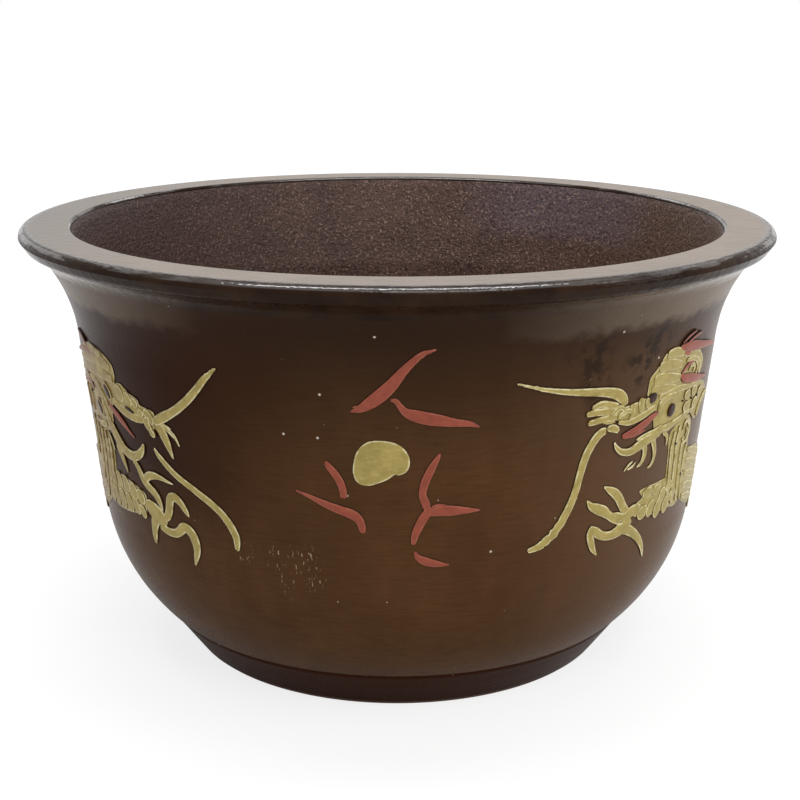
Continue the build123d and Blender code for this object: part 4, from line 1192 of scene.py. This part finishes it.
def body_pieces(dragon, side, material):
    for name, first, last in zip(panel_names, panel_edges, panel_edges[1:]):
        bm = body_panel(side, first, last)
        if name == "tail":
            percent = body_wave(last)[0]
            for lean in tail_tuft_leans:
                stroke(bm, [
                    (side * (last - 2.0), percent, 4.0), (side * (last + 1.0), percent + lean * 0.6, 4.4),
                    (side * (last + 3.6), percent + lean * 1.2 + 0.8, 0.9)], 0.6)
        laid(bm, dragon + "_" + name, material)
    for name, (azimuth, percent, forward) in leg_places.items():
        drawing = {
            "broad": [
                [(side * (azimuth + forward * step), percent + up, width) for step, up, width in points]
                for points in leg_strokes],
            "knobs": [
                (side * (azimuth + forward * step), percent + up, size, size)
                for step, up, size in leg_scales]}
        laid(slip_piece(drawing, hidden_leg_lift), dragon + "_" + name, material)


# How high each piece starts, in mm: what lies on top was brushed on last, the eyes after all else
first_lifts = {
    "neck": 0.0, "foreleg": 0.15, "skull": 0.3, "forepaw": 0.2, "muzzle": 0.45, "lower_jaw": 0.5,
    "beard": 0.2, "horns": 1.1, "tongue": 0.4, "upper_whisker": 0.6, "lower_whisker": 0.1}
eye_lift = 1.7
eye_rise = 0.6


def head_pieces(dragon, drawings, yellow, red, dark):
    for name, drawing in drawings.items():
        bm = slip_piece(drawing, first_lifts[name])
        if name in ("horns", "tongue"):
            laid(bm, dragon + "_" + name, red)
        else:
            laid(bm, dragon + "_" + name, yellow)
    bm = bmesh.new()
    slip_layers(bm)
    for eye in eyes[dragon]:
        dab(bm, oval(*eye), eye_lift, eye_rise, sides=20, rings=8)
    laid(bm, dragon + "_eyes", dark)


def glaze_body():
    outside, inside, rim = brown_glaze(), inner_glaze(), rim_glaze()
    for piece, node, first in (
            (rim_collar(), "rim_collar", rim), (upper_wall(), "upper_wall", outside),
            (lower_wall(), "lower_wall", outside), (foot_ring(), "foot_ring", outside),
            (floor_slab(), "floor_slab", outside)):
        piece.data.materials.append(first)
        piece.data.materials.append(inside)
        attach(piece, "root")
        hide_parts(node)


def slip_ornament():
    yellow = slip_material("yellow_ochre_slip", "#AE9B58", "#8E7E42", "#E6DAAC", 0.8, "#57421E")
    red = slip_material("iron_red_slip", "#984B38", "#7C3C2A", "#C07A5E", 0.25, "#4A2417")
    dark = dark_slip()
    laid(slip_piece(pearl), "pearl", yellow)
    for node, strokes in flames.items():
        laid(slip_piece({"strokes": strokes}), node, red)
    for dragon, drawings in (("right_dragon", right_dragon), ("left_dragon", left_dragon)):
        head_pieces(dragon, drawings, yellow, red, dark)
    for dragon, side in (("right_dragon", 1), ("left_dragon", -1)):
        body_pieces(dragon, side, yellow)


# The photograph's view: a camera a little above the rim, tilted down
camera_distance = 1.040
camera_height = jar_height + 0.1514
camera_tilt = 15.40
camera_lens_mm = 66.65
camera_shift = 2.7 / 800

# Soft boxes: name, place, what it's aimed at, width and depth, and power in watts
soft_boxes = (
    ("overhead_softbox", (0.0, -0.15, 2.2), (0, 0, 0.2), (2.0, 0.3), 18),
    ("key_softbox", (0.4, -1.6, 1.7), (0, 0, 0.15), (1.2, 0.9), 12),
    ("side_softbox", (1.7, -0.6, 1.0), (0, 0, 0.15), (0.7, 1.2), 8),
    ("back_softbox", (0.0, 1.8, 1.6), (0, 0, 0.2), (2.6, 0.5), 9))
diffuse_sky = 0.55

# The floor, in metres: where its glow to the camera begins to rise outside the jar's shadow, and is full
floor_radius = 6.0
glow_begins, glow_full = 0.22, 0.62
least_glow = 0.70
glow_strength = 1.12


def studio():
    camera_data = bpy.data.cameras.new("camera")
    camera_data.lens = camera_lens_mm
    camera_data.shift_x = camera_shift
    camera = bpy.data.objects.new("camera", camera_data)
    camera.location = (0, -camera_distance, camera_height)
    camera.rotation_euler = (radians(90 - camera_tilt), 0, 0)
    bpy.context.scene.collection.objects.link(camera)
    bpy.context.scene.camera = camera
    bpy.context.scene.view_settings.view_transform = "Standard"
    for name, spot, aim, size, power in soft_boxes:
        lamp_data = bpy.data.lights.new(name, "AREA")
        lamp_data.shape = "RECTANGLE"
        lamp_data.size, lamp_data.size_y = size
        lamp_data.energy = power
        lamp = bpy.data.objects.new(name, lamp_data)
        lamp.location = spot
        lamp.rotation_euler = (Vector(aim) - Vector(spot)).to_track_quat("-Z", "Y").to_euler()
        bpy.context.scene.collection.objects.link(lamp)


def clear_of_light(tree):
    """1 for what the camera, a gloss or a glass sees, 0 for what lights the jar."""
    path = add(tree, "LightPath")
    seen = path["Is Camera Ray"]
    for ray in ("Is Glossy Ray", "Is Transmission Ray"):
        seen = add(tree, "Math", {0: seen, 1: path[ray]}, operation="MAXIMUM")[0]
    return seen


def world_light():
    world = bpy.data.worlds.new("studio_world")
    bpy.context.scene.world = world
    world.use_nodes = True
    tree = world.node_tree
    tree.nodes.clear()
    strength = add(tree, "MapRange", {"Value": clear_of_light(tree), "To Min": diffuse_sky, "To Max": 1.0})[0]
    shader = add(tree, "Background", {"Color": linear("#FFFFFF"), "Strength": strength})[0]
    add(tree, "OutputWorld", {"Surface": shader})


def pale_floor():
    bm = bmesh.new()
    bmesh.ops.create_circle(bm, cap_ends=True, segments=96, radius=floor_radius)
    floor = new_piece("floor", bm)
    # Pale matt paint. The camera sees it glow a little, so that it is white outside the jar's shadow.
    material, tree = new_material("pale_floor_paint")
    path = add(tree, "LightPath")
    place_on = add(tree, "TexCoord")["Object"]
    away = add(tree, "VectorMath", {0: place_on}, operation="LENGTH")["Value"]
    glow_share = add(tree, "MapRange", {
        "Value": away, "From Min": glow_begins, "From Max": glow_full, "To Min": least_glow})[0]
    seen = zone(tree, path["Is Camera Ray"], glow_share)
    paint = add(tree, "BsdfDiffuse", {"Color": linear("#EFEFEF")})[0]
    glow = add(tree, "Emission", {"Color": linear("#FFFFFF"), "Strength": glow_strength})[0]
    both = add(tree, "MixShader", {0: seen, 1: paint, 2: glow})[0]
    add(tree, "OutputMaterial", {"Surface": both})
    floor.data.materials.append(material)


studio()
world_light()
pale_floor()
glaze_body()
slip_ornament()
